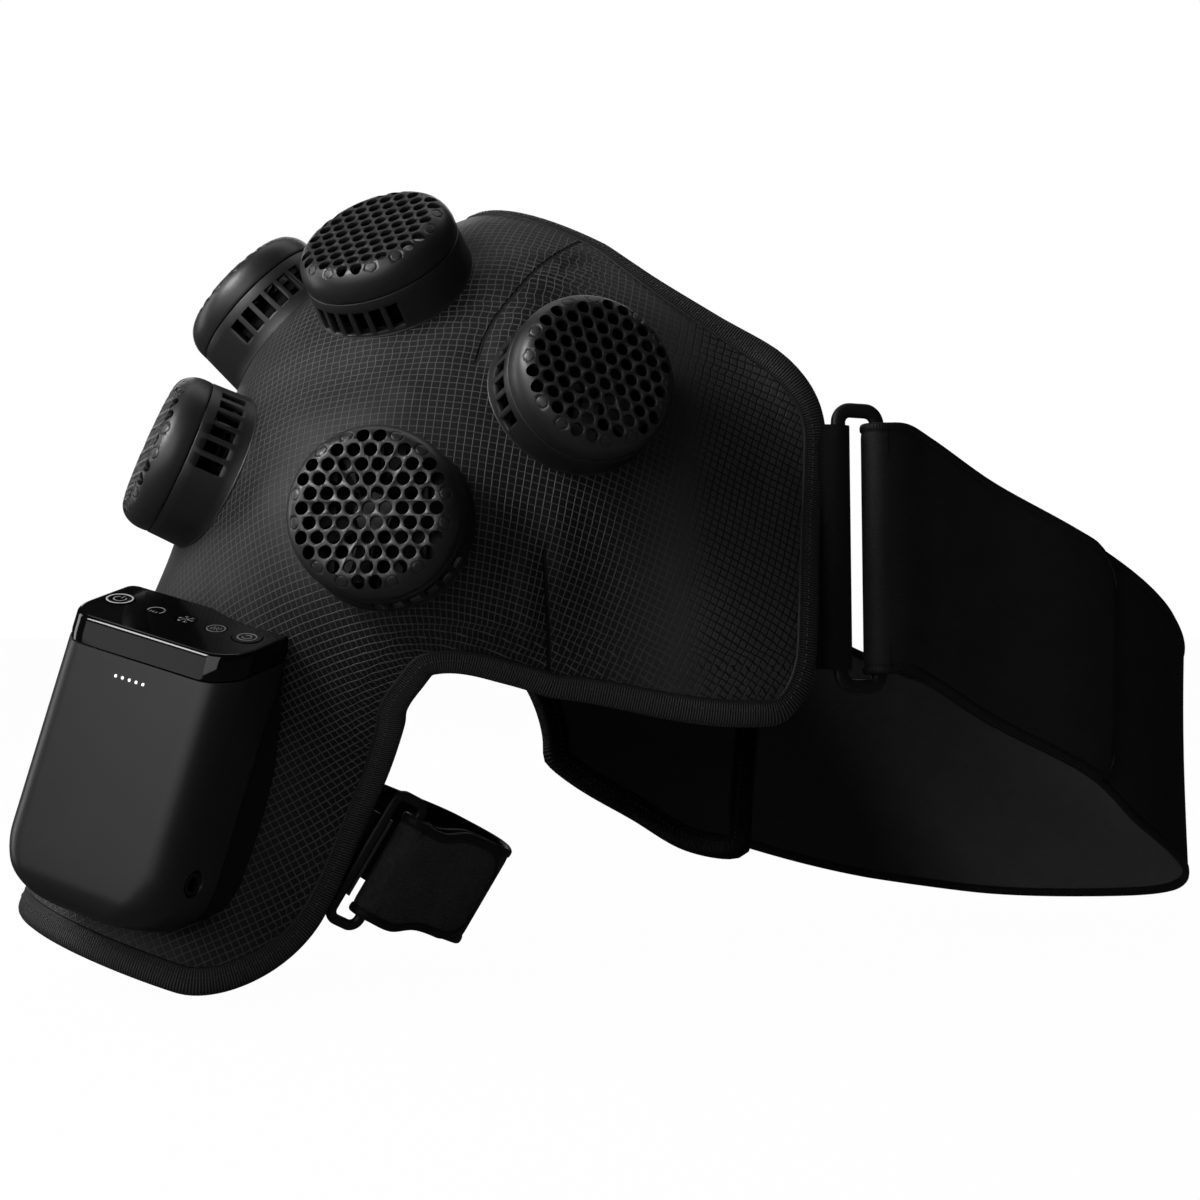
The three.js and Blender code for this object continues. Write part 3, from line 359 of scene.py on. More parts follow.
def loop_cloth():
    f = Finish("loop_cloth")
    bound, loops = f.mark("bound"), f.specks(0.0012)
    fuzz, uneven = f.noise(0.0011, 4, 0.8), f.noise(0.007, 3)
    colour = f.mix(uneven * 0.5 + loops * 0.5, grey(0.0050), grey(0.0240))
    colour = f.mix(bound, colour, grey(0.0036))
    normal = f.bump((fuzz * 1.4 + loops) * (1 - bound * 0.8), 0.0004, 0.9)
    rough = 0.80 - bound * 0.25 + fuzz * 0.1
    return f.shine(colour, rough, normal, Specular_IOR_Level=0.12, Sheen_Weight=0.03)


def moulded_plastic(name, level, rough, grain=0.00035, depth=0.00004, spec=0.5):
    f = Finish(name)
    grainy, uneven = f.noise(grain, 2, 0.6), f.noise(0.02, 3)
    colour = f.mix(uneven, grey(level * 0.85), grey(level * 1.15))
    rough = rough + uneven * 0.06 + grainy * 0.08
    return f.shine(colour, rough, f.bump(grainy, depth, 0.7), Specular_IOR_Level=spec)


def gloss_panel():
    f = Finish("gloss_panel")
    smear = f.noise(0.03, 3)
    normal = f.bump(f.noise(0.012, 1), 0.00003, 0.35)
    colour = f.mix(smear, grey(0.0012), grey(0.0022))
    return f.shine(colour, 0.05 + smear * 0.05, normal, Specular_IOR_Level=0.30)


def brushed_metal(name, level, along):
    f = Finish(name)
    brushed, blotch = f.noise(0.0012, 3, 0.6, along), f.noise(0.012, 2)
    colour = f.mix(brushed * 0.5 + blotch * 0.5, grey(level * 0.8), grey(level))
    return f.shine(colour, 0.26 + brushed * 0.2, f.bump(brushed, 0.00003, 0.6), Metallic=1.0)


def even_finish(name, size, detail, dark, pale, rough, bump=None, stretch=None, **settings):
    """A finish whose colour, roughness (least, range) and relief (depth, strength) follow one pattern."""
    f = Finish(name)
    uneven = f.noise(size, detail, stretch=stretch)
    normal = f.bump(uneven, *bump) if bump else None
    return f.shine(f.mix(uneven, dark, pale), rough[0] + uneven * rough[1], normal, **settings)


def circuit_card():
    f = Finish("circuit_card")
    x, _, z = f.parts(f.place())
    track = (x + z).off_middle(0.0022).rise(0.30, 0.36).least(z.off_middle(0.0051).rise(0.1, 0.14))
    pad = 1 - f.specks(0.0042).rise(0.14, 0.18)
    colour = f.mix(track, (0.008, 0.075, 0.032, 1), (0.014, 0.12, 0.05, 1))
    colour = f.mix(pad, colour, (0.55, 0.42, 0.16, 1))
    return f.shine(colour, 0.38 - pad * 0.1, f.bump(track + pad, 0.00006, 0.6))


def studio_floor():
    """White to the camera but for a little of the object's shadow, and dim in reflections."""
    f = Finish("studio_floor")
    camera, glossy, through_glass = f.rays("Camera", "Glossy", "Transmission")
    matte = f.node("ShaderNodeBsdfDiffuse", sockets={"Color": grey(0.62)})
    glow = f.node("ShaderNodeEmission", sockets={"Color": grey(1.0), "Strength": 1 - glossy * 0.96})
    share = (camera + glossy + through_glass).least(1) * 0.985
    shader = f.node("ShaderNodeMixShader", sockets={0: share, 1: matte, 2: glow})
    f.node("ShaderNodeOutputMaterial", sockets={0: shader})
    return f.made


def studio_world():
    """White to the camera. Gloss shows the white room behind the object and a dim one in front of it."""
    f = Finish("studio", "worlds")
    scene.world = f.made
    camera, glossy, through_glass = f.rays("Camera", "Glossy", "Transmission")
    behind = f.parts(f.node("ShaderNodeTexCoord", out=0))[1].rise(0.80, 1.0)
    white = camera.most(through_glass).most(glossy * behind * 0.12)
    room = f.mix(glossy, grey(0.045), grey(0.012))
    back = f.node("ShaderNodeBackground", sockets={"Color": f.mix(white, room, grey(1.0)), "Strength": 1.0})
    f.node("ShaderNodeOutputWorld", sockets={0: back})


RIPSTOP = ripstop_cloth()
LINING = lining_cloth()
TAPE = ribbed_tape()
THREAD = even_finish("sewing_thread", 0.0003, 1, grey(0.010), grey(0.040), (0.5, 0.2), Specular_IOR_Level=0.3)
STRAP = strap_cloth()
LOOP = loop_cloth()
RING = moulded_plastic("ring_plastic", 0.005, 0.42, spec=0.35)
CAP = moulded_plastic("pod_cap_plastic", 0.012, 0.32)
CASING = moulded_plastic("pod_casing_plastic", 0.010, 0.36, spec=0.45)
FAN = moulded_plastic("fan_plastic", 0.0025, 0.30, spec=0.3)
PACK = moulded_plastic("pack_plastic", 0.0075, 0.30, grain=0.0005, depth=0.00003, spec=0.32)
DOCK = moulded_plastic("dock_rubber", 0.005, 0.62, spec=0.2)
GLOSS = gloss_panel()
PRINT = even_finish("panel_print", 0.0008, 2, grey(0.336), grey(0.42), (0.35, 0.1))
DIM_PRINT = even_finish("panel_print_dim", 0.0008, 2, grey(0.128), grey(0.16), (0.35, 0.1))
LIGHT = even_finish("charge_light", 0.002, 1, grey(0.75), grey(0.9), (0.3, 0.1), Emission_Color=(1, 1, 1, 1),
                    Emission_Strength=0.55)
JACK = moulded_plastic("jack_plastic", 0.004, 0.45, spec=0.3)
PLATE = brushed_metal("plate_aluminium", 0.62, (1, 0.08, 1))
SINK = brushed_metal("sink_black_anodised", 0.012, (0.15, 1, 1))
TILE = even_finish("ceramic_tile", 0.0008, 3, grey(0.62, 0.03), grey(0.72, 0.02), (0.55, 0.15), (0.00003, 1.0))
CELL = even_finish("cell_sleeve", 0.004, 3, (0.03, 0.11, 0.25, 1), (0.045, 0.16, 0.33, 1), (0.3, 0.15),
                   (0.0002, 0.5), (1, 1, 0.25))
CARD = circuit_card()
studio_world()


# ---------------------------------------------------------------- the form that the shell is moulded over
BLEND = 22.0
BALL = (np.array([-30, -56, -131.0]), 60.0)
ARM_TOP, ARM_END = np.array([-47, -6, -79.0]), np.array([-120, -46, -291.0])
CHEST, CHEST_REACH, CHEST_REACH_DOWN = np.array([67, 23, -176.0]), np.array([107, 110, 111.0]), 190.0
CREST_OUTER, CREST_INNER = np.array([31, 14, -86.0]), np.array([105, 9, -56.0])
ARM_RADII, ARM_FLAT, CREST_RADII = (50.0, 66.0), 0.78, (100.0, 60.0)
BEND_X, BEND_Z, BEND_RADIUS, ARM_LENGTH = 21.0, -209.0, 110.0, 113.5
ARM_TURN, NECK_TURN = math.radians(161), math.radians(85)
BEND_LENGTH = BEND_RADIUS * (ARM_TURN - NECK_TURN)
CORE_LENGTH = ARM_LENGTH + BEND_LENGTH + 100
CORE_START_Y, CORE_RISE_Y = -53, 63
# Edges of the shell: angles against the share of the core line, and the other way for the neck
FRONT_EDGE = (
    [0, 0.028, 0.083, 0.153, 0.237, 0.334, 0.417, 0.467, 0.607, 0.79, 1],
    [121, 132, 141, 143.5, 137, 122, 116.5, 115, 121, 125.5, 131],
)
BACK_EDGE = (
    [0, 0.05, 0.17, 0.3, 0.42, 0.56, 0.67, 0.835, 0.9, 1],
    [-108, -110, -109, -108, -109, -119, -133, -139, -142, -145],
)
NECK_EDGE = (
    [-145, -110, -82, -68, -54, -40, -24, -10, 0, 10, 20, 34, 44, 54, 62, 75, 102, 127.5],
    [0.955, 0.955, 0.948, 0.915, 0.84, 0.75, 0.68, 0.652, 0.650, 0.662, 0.695, 0.766, 0.845, 0.925, 0.954,
     0.961, 0.963, 0.968],
)
HEM_CORNER, CHEST_CORNER, HEM_SHARE, CHEST_SHARE, HEM_START = 34.0, 10.0, 0.12, 0.030, 7.5
THICKNESS, TAPE_WIDTH = 8.0, 8.5
# How the skin is found along a ray, and how finely its slope is taken
SKIN_STEPS, SKIN_EASE, HEIGHT_STEPS, SLOPE_STEP = 40, 0.9, 60, 0.22
GAP = 0.35


def eased(t):
    t = np.clip(t, 0, 1)
    return t * t * (3 - 2 * t)


def unit(v):
    return v / np.maximum(np.linalg.norm(v, axis=-1, keepdims=True), 1e-9)


def through(curve, at):
    """Smooth curve through knots."""
    knots, values = map(np.asarray, curve)
    after, before = np.arange(1, len(knots) + 1), np.arange(-1, len(knots) - 1)
    after[-1], before[0] = len(knots) - 1, 0
    slopes = (values[after] - values[before]) / (knots[after] - knots[before])
    i = np.clip(np.searchsorted(knots, at, side="left") - 1, 0, len(knots) - 2)
    run = knots[i + 1] - knots[i]
    t = np.clip((at - knots[i]) / run, 0, 1)
    rise, start, end = values[i + 1] - values[i], slopes[i] * run, slopes[i + 1] * run
    return values[i] + t * (start + t * (3 * rise - 2 * start - end + t * (start + end - 2 * rise)))


def from_taper(p, a, b, radii, flat_share=1.0):
    """Distance from a tapered bar between two points, which may get flatter along y."""
    line = b - a
    t = np.clip(((p - a) @ line) / (line @ line), 0, 1)
    e = eased(t)
    away = p - (a + t[:, None] * line)
    flat = 1 + (flat_share - 1) * e
    away = away / np.stack([flat * 0 + 1, flat, flat * 0 + 1], 1)
    return (np.linalg.norm(away, axis=1) - (radii[0] + (radii[1] - radii[0]) * e)) * flat


def from_form(p):
    """Distance from the moulded form in millimetres, minus inside."""
    chest_z = np.where(p[:, 2] < CHEST[2], CHEST_REACH_DOWN, CHEST_REACH[2])
    radii = np.stack([np.full(len(p), CHEST_REACH[0]), np.full(len(p), CHEST_REACH[1]), chest_z], 1)
    q = (p - CHEST) / radii
    first = np.linalg.norm(q, axis=1)
    distances = np.stack([
        np.linalg.norm(p - BALL[0], axis=1) - BALL[1],
        from_taper(p, ARM_TOP, ARM_END, ARM_RADII, ARM_FLAT),
        first * (first - 1) / np.maximum(np.linalg.norm(q / radii, axis=1), 1e-9),
        from_taper(p, CREST_OUTER, CREST_INNER, CREST_RADII),
    ])
    least = distances.min(0)
    return least - BLEND * np.log(np.exp(-(distances - least) / BLEND).sum(0))


def core_point(station):
    """Place on the core line, which is straight in the arm and bends to the neck, and the way out from it."""
    bend = np.clip((station - ARM_LENGTH) / BEND_LENGTH, 0, 1)
    turn = ARM_TURN + (NECK_TURN - ARM_TURN) * bend
    outward = np.stack([np.cos(turn), 0 * turn, np.sin(turn)], -1)
    along = np.stack([np.sin(turn), 0 * turn, -np.cos(turn)], -1)
    over = station - ARM_LENGTH - bend * BEND_LENGTH
    point = np.array([BEND_X, 0, BEND_Z]) + BEND_RADIUS * outward + over[..., None] * along
    point[..., 1] = CORE_START_Y + CORE_RISE_Y * eased(station / (ARM_LENGTH + BEND_LENGTH))
    return point, outward


def skin(station, angle):
    """Points of the outer skin, on rays from the core line at angles in degrees."""
    station, angle = np.broadcast_arrays(np.asarray(station, float), np.asarray(angle, float))
    shape = station.shape
    point, outward = core_point(station.ravel())
    turn = np.radians(angle.ravel())[:, None]
    ray = np.cos(turn) * outward - np.sin(turn) * np.array([0, 1.0, 0])
    reach = np.full(len(point), BALL[1])
    for _ in range(SKIN_STEPS):
        reach = reach - SKIN_EASE * from_form(point + reach[:, None] * ray)
    return (point + reach[:, None] * ray).reshape(shape + (3,))


def skin_normal(p):
    flat = p.reshape(-1, 3)
    steps = SLOPE_STEP * np.eye(3)
    normal = np.stack([from_form(flat + step) - from_form(flat - step) for step in steps], 1)
    return unit(normal).reshape(p.shape)


class Seat:
    """The turned frame of something that sits on the skin, with z outwards."""

    def __init__(self, share, angle, along_share, around_share, lift, turn=0.0):
        station = share * CORE_LENGTH
        step = BLEND / 20
        spots = skin(station + step * np.array([0, 1, -1, 0, 0]), angle + np.array([0, 0, 0, 1, -1]))
        along, around = unit(spots[1] - spots[2]), unit(spots[3] - spots[4])
        self.out = unit(skin_normal(spots[:1])[0] + along_share * along + around_share * around)
        up = unit(np.array([0, 0, 1.0]) - self.out * self.out[2])
        across = np.cross(up, self.out)
        c, s = math.cos(math.radians(turn)), math.sin(math.radians(turn))
        self.across, self.up = c * across + s * up, c * up - s * across
        self.origin = spots[0] + self.out * lift

    @classmethod
    def framed(cls, origin, across, up, out):
        made = cls.__new__(cls)
        made.origin, made.across, made.up, made.out = origin, across, up, out
        return made

    def at(self, points):
        x, y, z = np.split(np.asarray(points, float), 3, -1)
        return self.origin + x * self.across + y * self.up + z * self.out

    def height_of_skin(self, x, y, start=60.0):
        """How high the skin is above the seat at some places on it."""
        height = np.full(np.shape(x), start)
        for _ in range(HEIGHT_STEPS):
            height = height - from_form(self.at(np.stack([x, y, height], -1)))
        return height


# ---------------------------------------------------------------- meshes
WELD, BEVEL_FROM, BEVEL_CREASE = 1e-7, 42, 50


def smooth(mesh, crease):
    mesh.shade_smooth()
    mesh.set_sharp_from_angle(angle=math.radians(crease))


def face_out(mesh, weld=True):
    """Turns all faces outwards, after joining points that lie on each other."""
    work = bmesh.new()
    work.from_mesh(mesh)
    if weld:
        bmesh.ops.remove_doubles(work, verts=work.verts, dist=WELD)
    bmesh.ops.recalc_face_normals(work, faces=work.faces)
    work.to_mesh(mesh)
    work.free()


def mesh_of(name, points, faces, looks, uv=None, marks=None, kinds=None):
    """A mesh in metres from points in millimetres. uv and marks hold one row for each point."""
    mesh = bpy.data.meshes.new(name)
    mesh.from_pydata((np.asarray(points, float) * MM).tolist(), [], [list(map(int, face)) for face in faces])
    for look in looks:
        mesh.materials.append(look)
    if kinds is not None:
        mesh.polygons.foreach_set("material_index", np.asarray(kinds, np.int32))
    if uv is not None:
        corners = np.empty(len(mesh.loops), np.int32)
        mesh.loops.foreach_get("vertex_index", corners)
        layer = mesh.uv_layers.new(name="cloth")
        layer.data.foreach_set("uv", np.asarray(uv, np.float32)[corners].ravel())
    for key, values in (marks or {}).items():
        layer = mesh.attributes.new(key, "FLOAT", "POINT")
        layer.data.foreach_set("value", np.asarray(values, np.float32))
    mesh.validate()
    mesh.shade_smooth()
    return mesh


def object_of(mesh, name=None):
    made = bpy.data.objects.new(name or mesh.name, mesh)
    scene.collection.objects.link(made)
    return made


def settle(made, body=ROOT, nodes=()):
    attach(made, body)
    if nodes:
        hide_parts(*nodes)
    return made


def grid_faces(rows, columns, start=0, closed=False, flip=False):
    i, j = np.meshgrid(np.arange(rows - 1), np.arange(columns if closed else columns - 1), indexing="ij")
    a, b = i * columns + j, i * columns + (j + 1) % columns
    quads = np.stack([a, a + columns, b + columns, b], -1).reshape(-1, 4) + start
    return quads[:, ::-1] if flip else quads


def lofted(name, rings, look, ends=True, crease=35):
    """Closed solid through rings of equally many points, with its ends flat or joined to each other."""
    rings = np.asarray(rings, float)
    rows, columns = rings.shape[:2]
    last = (rows - 1) * columns
    faces = grid_faces(rows, columns, closed=True).tolist()
    if ends:
        faces += [list(range(columns)), [last + j for j in range(columns)]]
    else:
        faces += [[last + j, j, (j + 1) % columns, last + (j + 1) % columns] for j in range(columns)]
    mesh = mesh_of(name, rings.reshape(-1, 3), faces, [look])
    face_out(mesh)
    smooth(mesh, crease)
    return mesh


def turned_solid(name, profile, look, steps=72):
    """A solid turned about z from a closed profile of (radius, height)."""
    turn = np.linspace(0, 2 * math.pi, steps, endpoint=False)
    rings = np.array([[(r * math.cos(a), r * math.sin(a), z) for a in turn] for r, z in profile])
    mesh = mesh_of(name, rings.reshape(-1, 3), grid_faces(len(profile), steps, closed=True), [look])
    face_out(mesh)
    return mesh


def into_frame(mesh, seat):
    points = np.empty(len(mesh.vertices) * 3, np.float32)
    mesh.vertices.foreach_get("co", points)
    moved = seat.at(points.reshape(-1, 3) / MM) * MM
    mesh.vertices.foreach_set("co", moved.astype(np.float32).ravel())
    mesh.update()


def keep_result(made, modifier):
    """Leaves an object with the plain mesh that a modifier makes of it."""
    seen = made.evaluated_get(bpy.context.evaluated_depsgraph_get())
    mesh = bpy.data.meshes.new_from_object(seen)
    made.modifiers.remove(modifier)
    made.data = mesh


def bevelled(made, width):
    """The mesh of a finished draft, with its sharp edges rounded. The draft goes."""
    modifier = made.modifiers.new("edge", "BEVEL")
    modifier.width = width * MM
    modifier.segments = 1
    modifier.limit_method = "ANGLE"
    modifier.angle_limit = math.radians(BEVEL_FROM)
    modifier.harden_normals = False
    keep_result(made, modifier)
    mesh = made.data
    smooth(mesh, BEVEL_CREASE)
    bpy.data.objects.remove(made)
    return mesh


def cutter(seat, profile, look, steps):
    tool = object_of(turned_solid("cutter", profile, look, steps))
    into_frame(tool.data, seat)
    return tool


def plug(seat, radius, low, high, look, steps=72):
    return cutter(seat, [(0, low), (radius, low), (radius, high), (0, high)], look, steps)


def cut_from(made, tools, crease):
    """Takes solids out of a mesh, keeping its map and marks."""
    group = bpy.data.collections.new("cutters")
    for tool in tools:
        group.objects.link(tool)
    scene.collection.children.link(group)
    modifier = made.modifiers.new("cut", "BOOLEAN")
    modifier.operation = "DIFFERENCE"
    modifier.operand_type = "COLLECTION"
    modifier.collection = group
    modifier.solver = "EXACT"
    keep_result(made, modifier)
    for tool in tools:
        bpy.data.objects.remove(tool)
    bpy.data.collections.remove(group)
    smooth(made.data, crease)


# ---------------------------------------------------------------- makers of what repeats
def stitch_maker():
    m = Maker("stitch_row", lengths=("Pitch", "Length", "Width"))
    line = m.node("GeometryNodeMeshToCurve", sockets={0: m.given("Geometry")})
    spots = m.node("GeometryNodeResampleCurve", {"mode": "LENGTH"}, {"Curve": line, "Length": m.given("Pitch")})
    way = m.node("GeometryNodeInputTangent")
    turn = m.node("FunctionNodeAlignRotationToVector", {"axis": "X"}, {"Vector": way})
    bead = m.node("GeometryNodeMeshUVSphere", sockets={"Segments": 6, "Rings": 4, "Radius": 0.5})
    size = m.vector(m.given("Length"), m.given("Width"), m.given("Width"))
    m.end(m.copies(spots, bead, Rotation=turn, Scale=size), THREAD)
    return m


LATTICE, DRILL_SIDES, DRILL_DEPTH, DRILL_BACK, GROOVE = 21, 20, 0.010, 0.00460, 0.00034


def share_over(away):
    """How far a place at that distance from the axis is past the start of a cap's rounded rim."""
    return (away - RIM_START * MM).most(0) / (RIM_WIDTH * MM)


def height_over(away):
    share = share_over(away)
    return (1 - share * share).math("SQRT")


def hole_maker():
    """Holes of a cap on a six-sided lattice: right through in the middle, and shallow grooves at the rim."""
    m = Maker("cap_holes", lengths=("Pitch", "Radius", "Through", "Reach", "Top"))
    side, radius = m.given("Pitch") * (LATTICE - 1), m.given("Radius")
    sockets = {"Size X": side, "Size Y": side, "Vertices X": LATTICE, "Vertices Y": LATTICE}
    lattice = m.node("GeometryNodeMeshGrid", sockets=sockets)
    x, y, _ = m.parts(m.node("GeometryNodeInputPosition"))
    slanted, tall = x + y * 0.5, y * math.sqrt(0.75)
    away = m.length(m.vector(slanted, tall))
    level = m.given("Top") - DRILL_BACK
    on_rim = height_over(away).math("MULTIPLY_ADD", RIM_HEIGHT * MM, RIM_FOOT * MM)
    height = level + away.above(m.given("Through")) * (on_rim - level)
    place = m.vector(slanted, tall, height)
    moved = m.node("GeometryNodeSetPosition", sockets={"Geometry": lattice, "Position": place})
    here = m.node("GeometryNodeInputPosition")
    flat = m.node("ShaderNodeVectorMath", {"operation": "MULTIPLY"}, {0: here, 1: (1, 1, 0)})
    far = m.length(flat)
    kind = {"data_type": "FLOAT", "operation": "GREATER_THAN"}
    outside = m.node("FunctionNodeCompare", kind, {0: far, 1: m.given("Reach")})
    kept = m.node("GeometryNodeDeleteGeometry", {"domain": "POINT"}, {"Geometry": moved, "Selection": outside})
    sockets = {"Vertices": DRILL_SIDES, "Radius": radius, "Depth": DRILL_DEPTH}
    drill = m.node("GeometryNodeMeshCylinder", sockets=sockets)
    drill = m.node("GeometryNodeTransform", sockets={"Geometry": drill, "Translation": (0, 0, DRILL_BACK)})
    # A shallow one is only the groove round its disc, and leans with the rounded rim
    sockets = {"Vertices": DRILL_SIDES, "Radius": radius - GROOVE, "Depth": 2 * DRILL_DEPTH}
    groove = m.minus(drill, m.node("GeometryNodeMeshCylinder", sockets=sockets))
    shallow = far.above(m.given("Through"))
    lean = (share_over(far) / RIM_WIDTH).math("ARCTAN2", height_over(far) / RIM_HEIGHT) * shallow
    axis = m.node("ShaderNodeVectorMath", {"operation": "CROSS_PRODUCT"}, {0: (0, 0, 1), 1: flat})
    turn = m.node("FunctionNodeAxisAngleToRotation", sockets={0: axis, 1: lean})
    drills = m.copies(kept, drill, Selection=1 - shallow)
    grooves = m.copies(kept, groove, Rotation=turn, Selection=shallow)
    both = m.node("GeometryNodeJoinGeometry", sockets={0: [drills, grooves]})
    m.end(m.minus(m.given("Geometry"), m.real(both)), CAP)
    return m


def vent_maker():
    """A group of upright slots round the wall of a pod."""
    m = Maker("wall_vents", ("Count",), ("Step", "First", "Radius", "Deep", "Width", "Height", "Foot"))
    angle = m.given("First") + m.node("GeometryNodeInputIndex") * m.given("Step")
    middle_height = m.given("Foot") + m.given("Height") * 0.5
    spot = m.vector(*(angle.math(way) * m.given("Radius") for way in ("COSINE", "SINE")), middle_height)
    spots = m.node("GeometryNodePoints", sockets={"Count": m.given("Count"), "Position": spot})
    turn = m.node("FunctionNodeEulerToRotation", sockets={0: m.vector(0, 0, angle)})
    size = m.vector(m.given("Deep"), m.given("Width"), m.given("Height"))
    block = m.node("GeometryNodeMeshCube", sockets={"Size": size})
    blocks = m.real(m.copies(spots, block, Rotation=turn))
    m.end(m.minus(m.given("Geometry"), blocks), CASING)
    return m


# ---------------------------------------------------------------- shell
# Each pod: share of the core line and angle of its seat, how it leans, how deep it sits, and the middle of
# its vents in degrees
PODS = {
    "top": (0.601, 36, -0.01, -0.02, 2.4, 269),
    "chest": (0.7179, 74, 0.05, 0.11, 1.4, 173),
    "front": (0.5287, 91, -0.035, 0.02, 1.4, 300),
    "back": (0.5259, -2, 0.04, 0.04, 1.4, 11),
    "side": (0.4368, 32, -0.03, -0.12, 1.8, 28),
}
POD_SEATS = {name: Seat(*row[:4], -row[4]) for name, row in PODS.items()}
CAP_TURNS = {"top": 8, "chest": -20, "front": 0, "back": 0, "side": 0}

PACK_WIDTH, PACK_HEIGHT, PACK_DEPTH, PACK_RISE = 76.5, 101.0, 33.0, 15.5
PACK_SINK, BAND_HEIGHT, PANEL_FROM_BACK = 5.6, 9.8, 14.3
PACK_SLOPE = PACK_RISE / PACK_DEPTH
pack_seat = Seat(0.1864, 63, -0.09, -0.13, 0, -13.6)
seat_x, seat_y = np.meshgrid(np.linspace(-PACK_WIDTH / 2, PACK_WIDTH / 2, 11),
                             np.linspace(-PACK_HEIGHT / 2, PACK_HEIGHT / 2 + PACK_RISE, 11))
pack_lift = pack_seat.height_of_skin(seat_x.ravel(), seat_y.ravel()).max() - PACK_SINK
pack_seat.origin = pack_seat.origin + pack_seat.out * pack_lift

# Seams of the shell, as station and angle: the shoulder seam from the neck, and the dart above the lower edge
SEAMS = [
    [(231.5, 67), (234, 62), (238, 56), (243, 50), (248, 42), (253, 33), (257, 25), (261, 17), (264, 12)],
    [(249, 103), (250.5, 110), (252, 118), (252.5, 125), (253, 131)],
]
# Gentle swells of the cloth: the way of each wave in turns a millimetre, and its start
SWELLS = [((0.071, 0.052, 0.061), 0), ((-0.043, 0.067, 0.083), 1.3), ((0.17, -0.11, 0.13), 0.6)]
# Soft folds of the cloth: middle line, half width and height in millimetres
FOLDS = [
    (((214, 108), (222, 100), (236, 92)), 9, 1.1),
    (((262, 112), (256, 100), (254, 90)), 8, 1.0),
    (((205, 70), (218, 66), (230, 62)), 8, 0.9),
    (((175, 118), (160, 124), (146, 128)), 9, 0.8),
    (((140, 60), (128, 82), (112, 96)), 11, 0.9),
    (((300, 96), (322, 88), (340, 84)), 14, -0.9),
    (((282, 60), (300, 70), (318, 92)), 16, 0.8),
    (((150, -60), (176, -74), (206, -92)), 14, 1.0),
    (((232, -40), (250, -62), (262, -96)), 16, -1.0),
    (((70, -40), (90, -64), (96, -92)), 12, 0.9),
]
NECK_FIRST, NECK_SPAN = -145, 272.5
SHELL_ROWS, SHELL_COLUMNS, HEM_COLUMNS, CHEST_COLUMNS, COLUMN_GAP = 190, 150, 26, 16, 2e-4
FAR_AWAY = 99.0
POD_BORE, POD_BORE_LOW, POD_LEDGE, POD_LEDGE_LOW, POD_CUT_TOP = 21.35, -26.0, 28.05, 1.65, 14.0
LEVEL_STATION, LEVEL_ANGLE = 190, 92


def shell_columns():
    """Shares of the shell's width, closer together in its rounded corners."""
    plain = np.linspace(0, 1 - HEM_SHARE, SHELL_COLUMNS, endpoint=False)
    hem = 1 - HEM_SHARE * (1 - np.sin(np.linspace(0, math.pi / 2, HEM_COLUMNS, endpoint=False)))
    chest = 1 - CHEST_SHARE * (1 - np.sin(np.linspace(0, math.pi / 2, CHEST_COLUMNS)))
    columns = np.unique(np.concatenate([plain, hem, chest]))
    return columns[np.concatenate([[True], np.diff(columns) > COLUMN_GAP])]


def smooth_line(knots, steps):
    """Even curve through knots, with its speed set by the square root of their distances."""
    ends = np.vstack([2 * knots[0] - knots[1], knots, 2 * knots[-1] - knots[-2]])
    line = []
    for i in range(1, len(ends) - 2):
        p0, p1, p2, p3 = ends[i - 1:i + 3]
        a, b, c = (math.sqrt(max(np.linalg.norm(q - p), 1e-6)) for p, q in ((p0, p1), (p1, p2), (p2, p3)))
        m1 = ((p1 - p0) / a - (p2 - p0) / (a + b) + (p2 - p1) / b) * b
        m2 = ((p2 - p1) / b - (p3 - p1) / (b + c) + (p3 - p2) / c) * b
        for t in np.linspace(0, 1, steps, endpoint=False):
            bend = t * t * (3 * (p2 - p1) - 2 * m1 - m2)
            line.append(p1 + t * m1 + bend + t ** 3 * (2 * (p1 - p2) + m1 + m2))
    return np.array(line + [knots[-1]])


def corner_start(share, length_share, corner):
    """How far a rounded corner takes the edge back, near the last share of it."""
    into = np.clip((share - (1 - length_share)) / length_share, 0, 1)
    return corner * (1 - np.sqrt(np.maximum(1 - into * into, 0)))


def pattern(rows, columns):
    """Stations and angles of the shell for shares of its length and width."""
    row, column = np.meshgrid(rows, columns, indexing="ij")
    middle_angle = NECK_FIRST + NECK_SPAN * column
    start = HEM_START + corner_start(column, HEM_SHARE, HEM_CORNER)
    end = CORE_LENGTH * through(NECK_EDGE, middle_angle) - corner_start(column, CHEST_SHARE, CHEST_CORNER)
    station = start + (end - start) * row
    front, back = through(FRONT_EDGE, station / CORE_LENGTH), through(BACK_EDGE, station / CORE_LENGTH)
    return station, back + (front - back) * column


def line_distance(points, line):
    """Distance of points from a line of points, with its sign by the side, and the share along it."""
    best = np.full(len(points), 1e9)
    side, share = np.zeros(len(points)), np.zeros(len(points))
    normals = skin_normal(line)
    for k in range(len(line) - 1):
        run = line[k + 1] - line[k]
        t = ((points - line[k]) @ run) / (run @ run)
        nearest = line[k] + np.clip(t, 0, 1)[:, None] * run
        away = points - nearest
        distance = np.linalg.norm(away, axis=1)
        closer = distance < best
        best[closer] = distance[closer]
        side[closer] = np.sign(away[closer] @ np.cross(normals[k], unit(run)))
        share[closer] = (k + t[closer]) / (len(line) - 1)
    return best, side, share


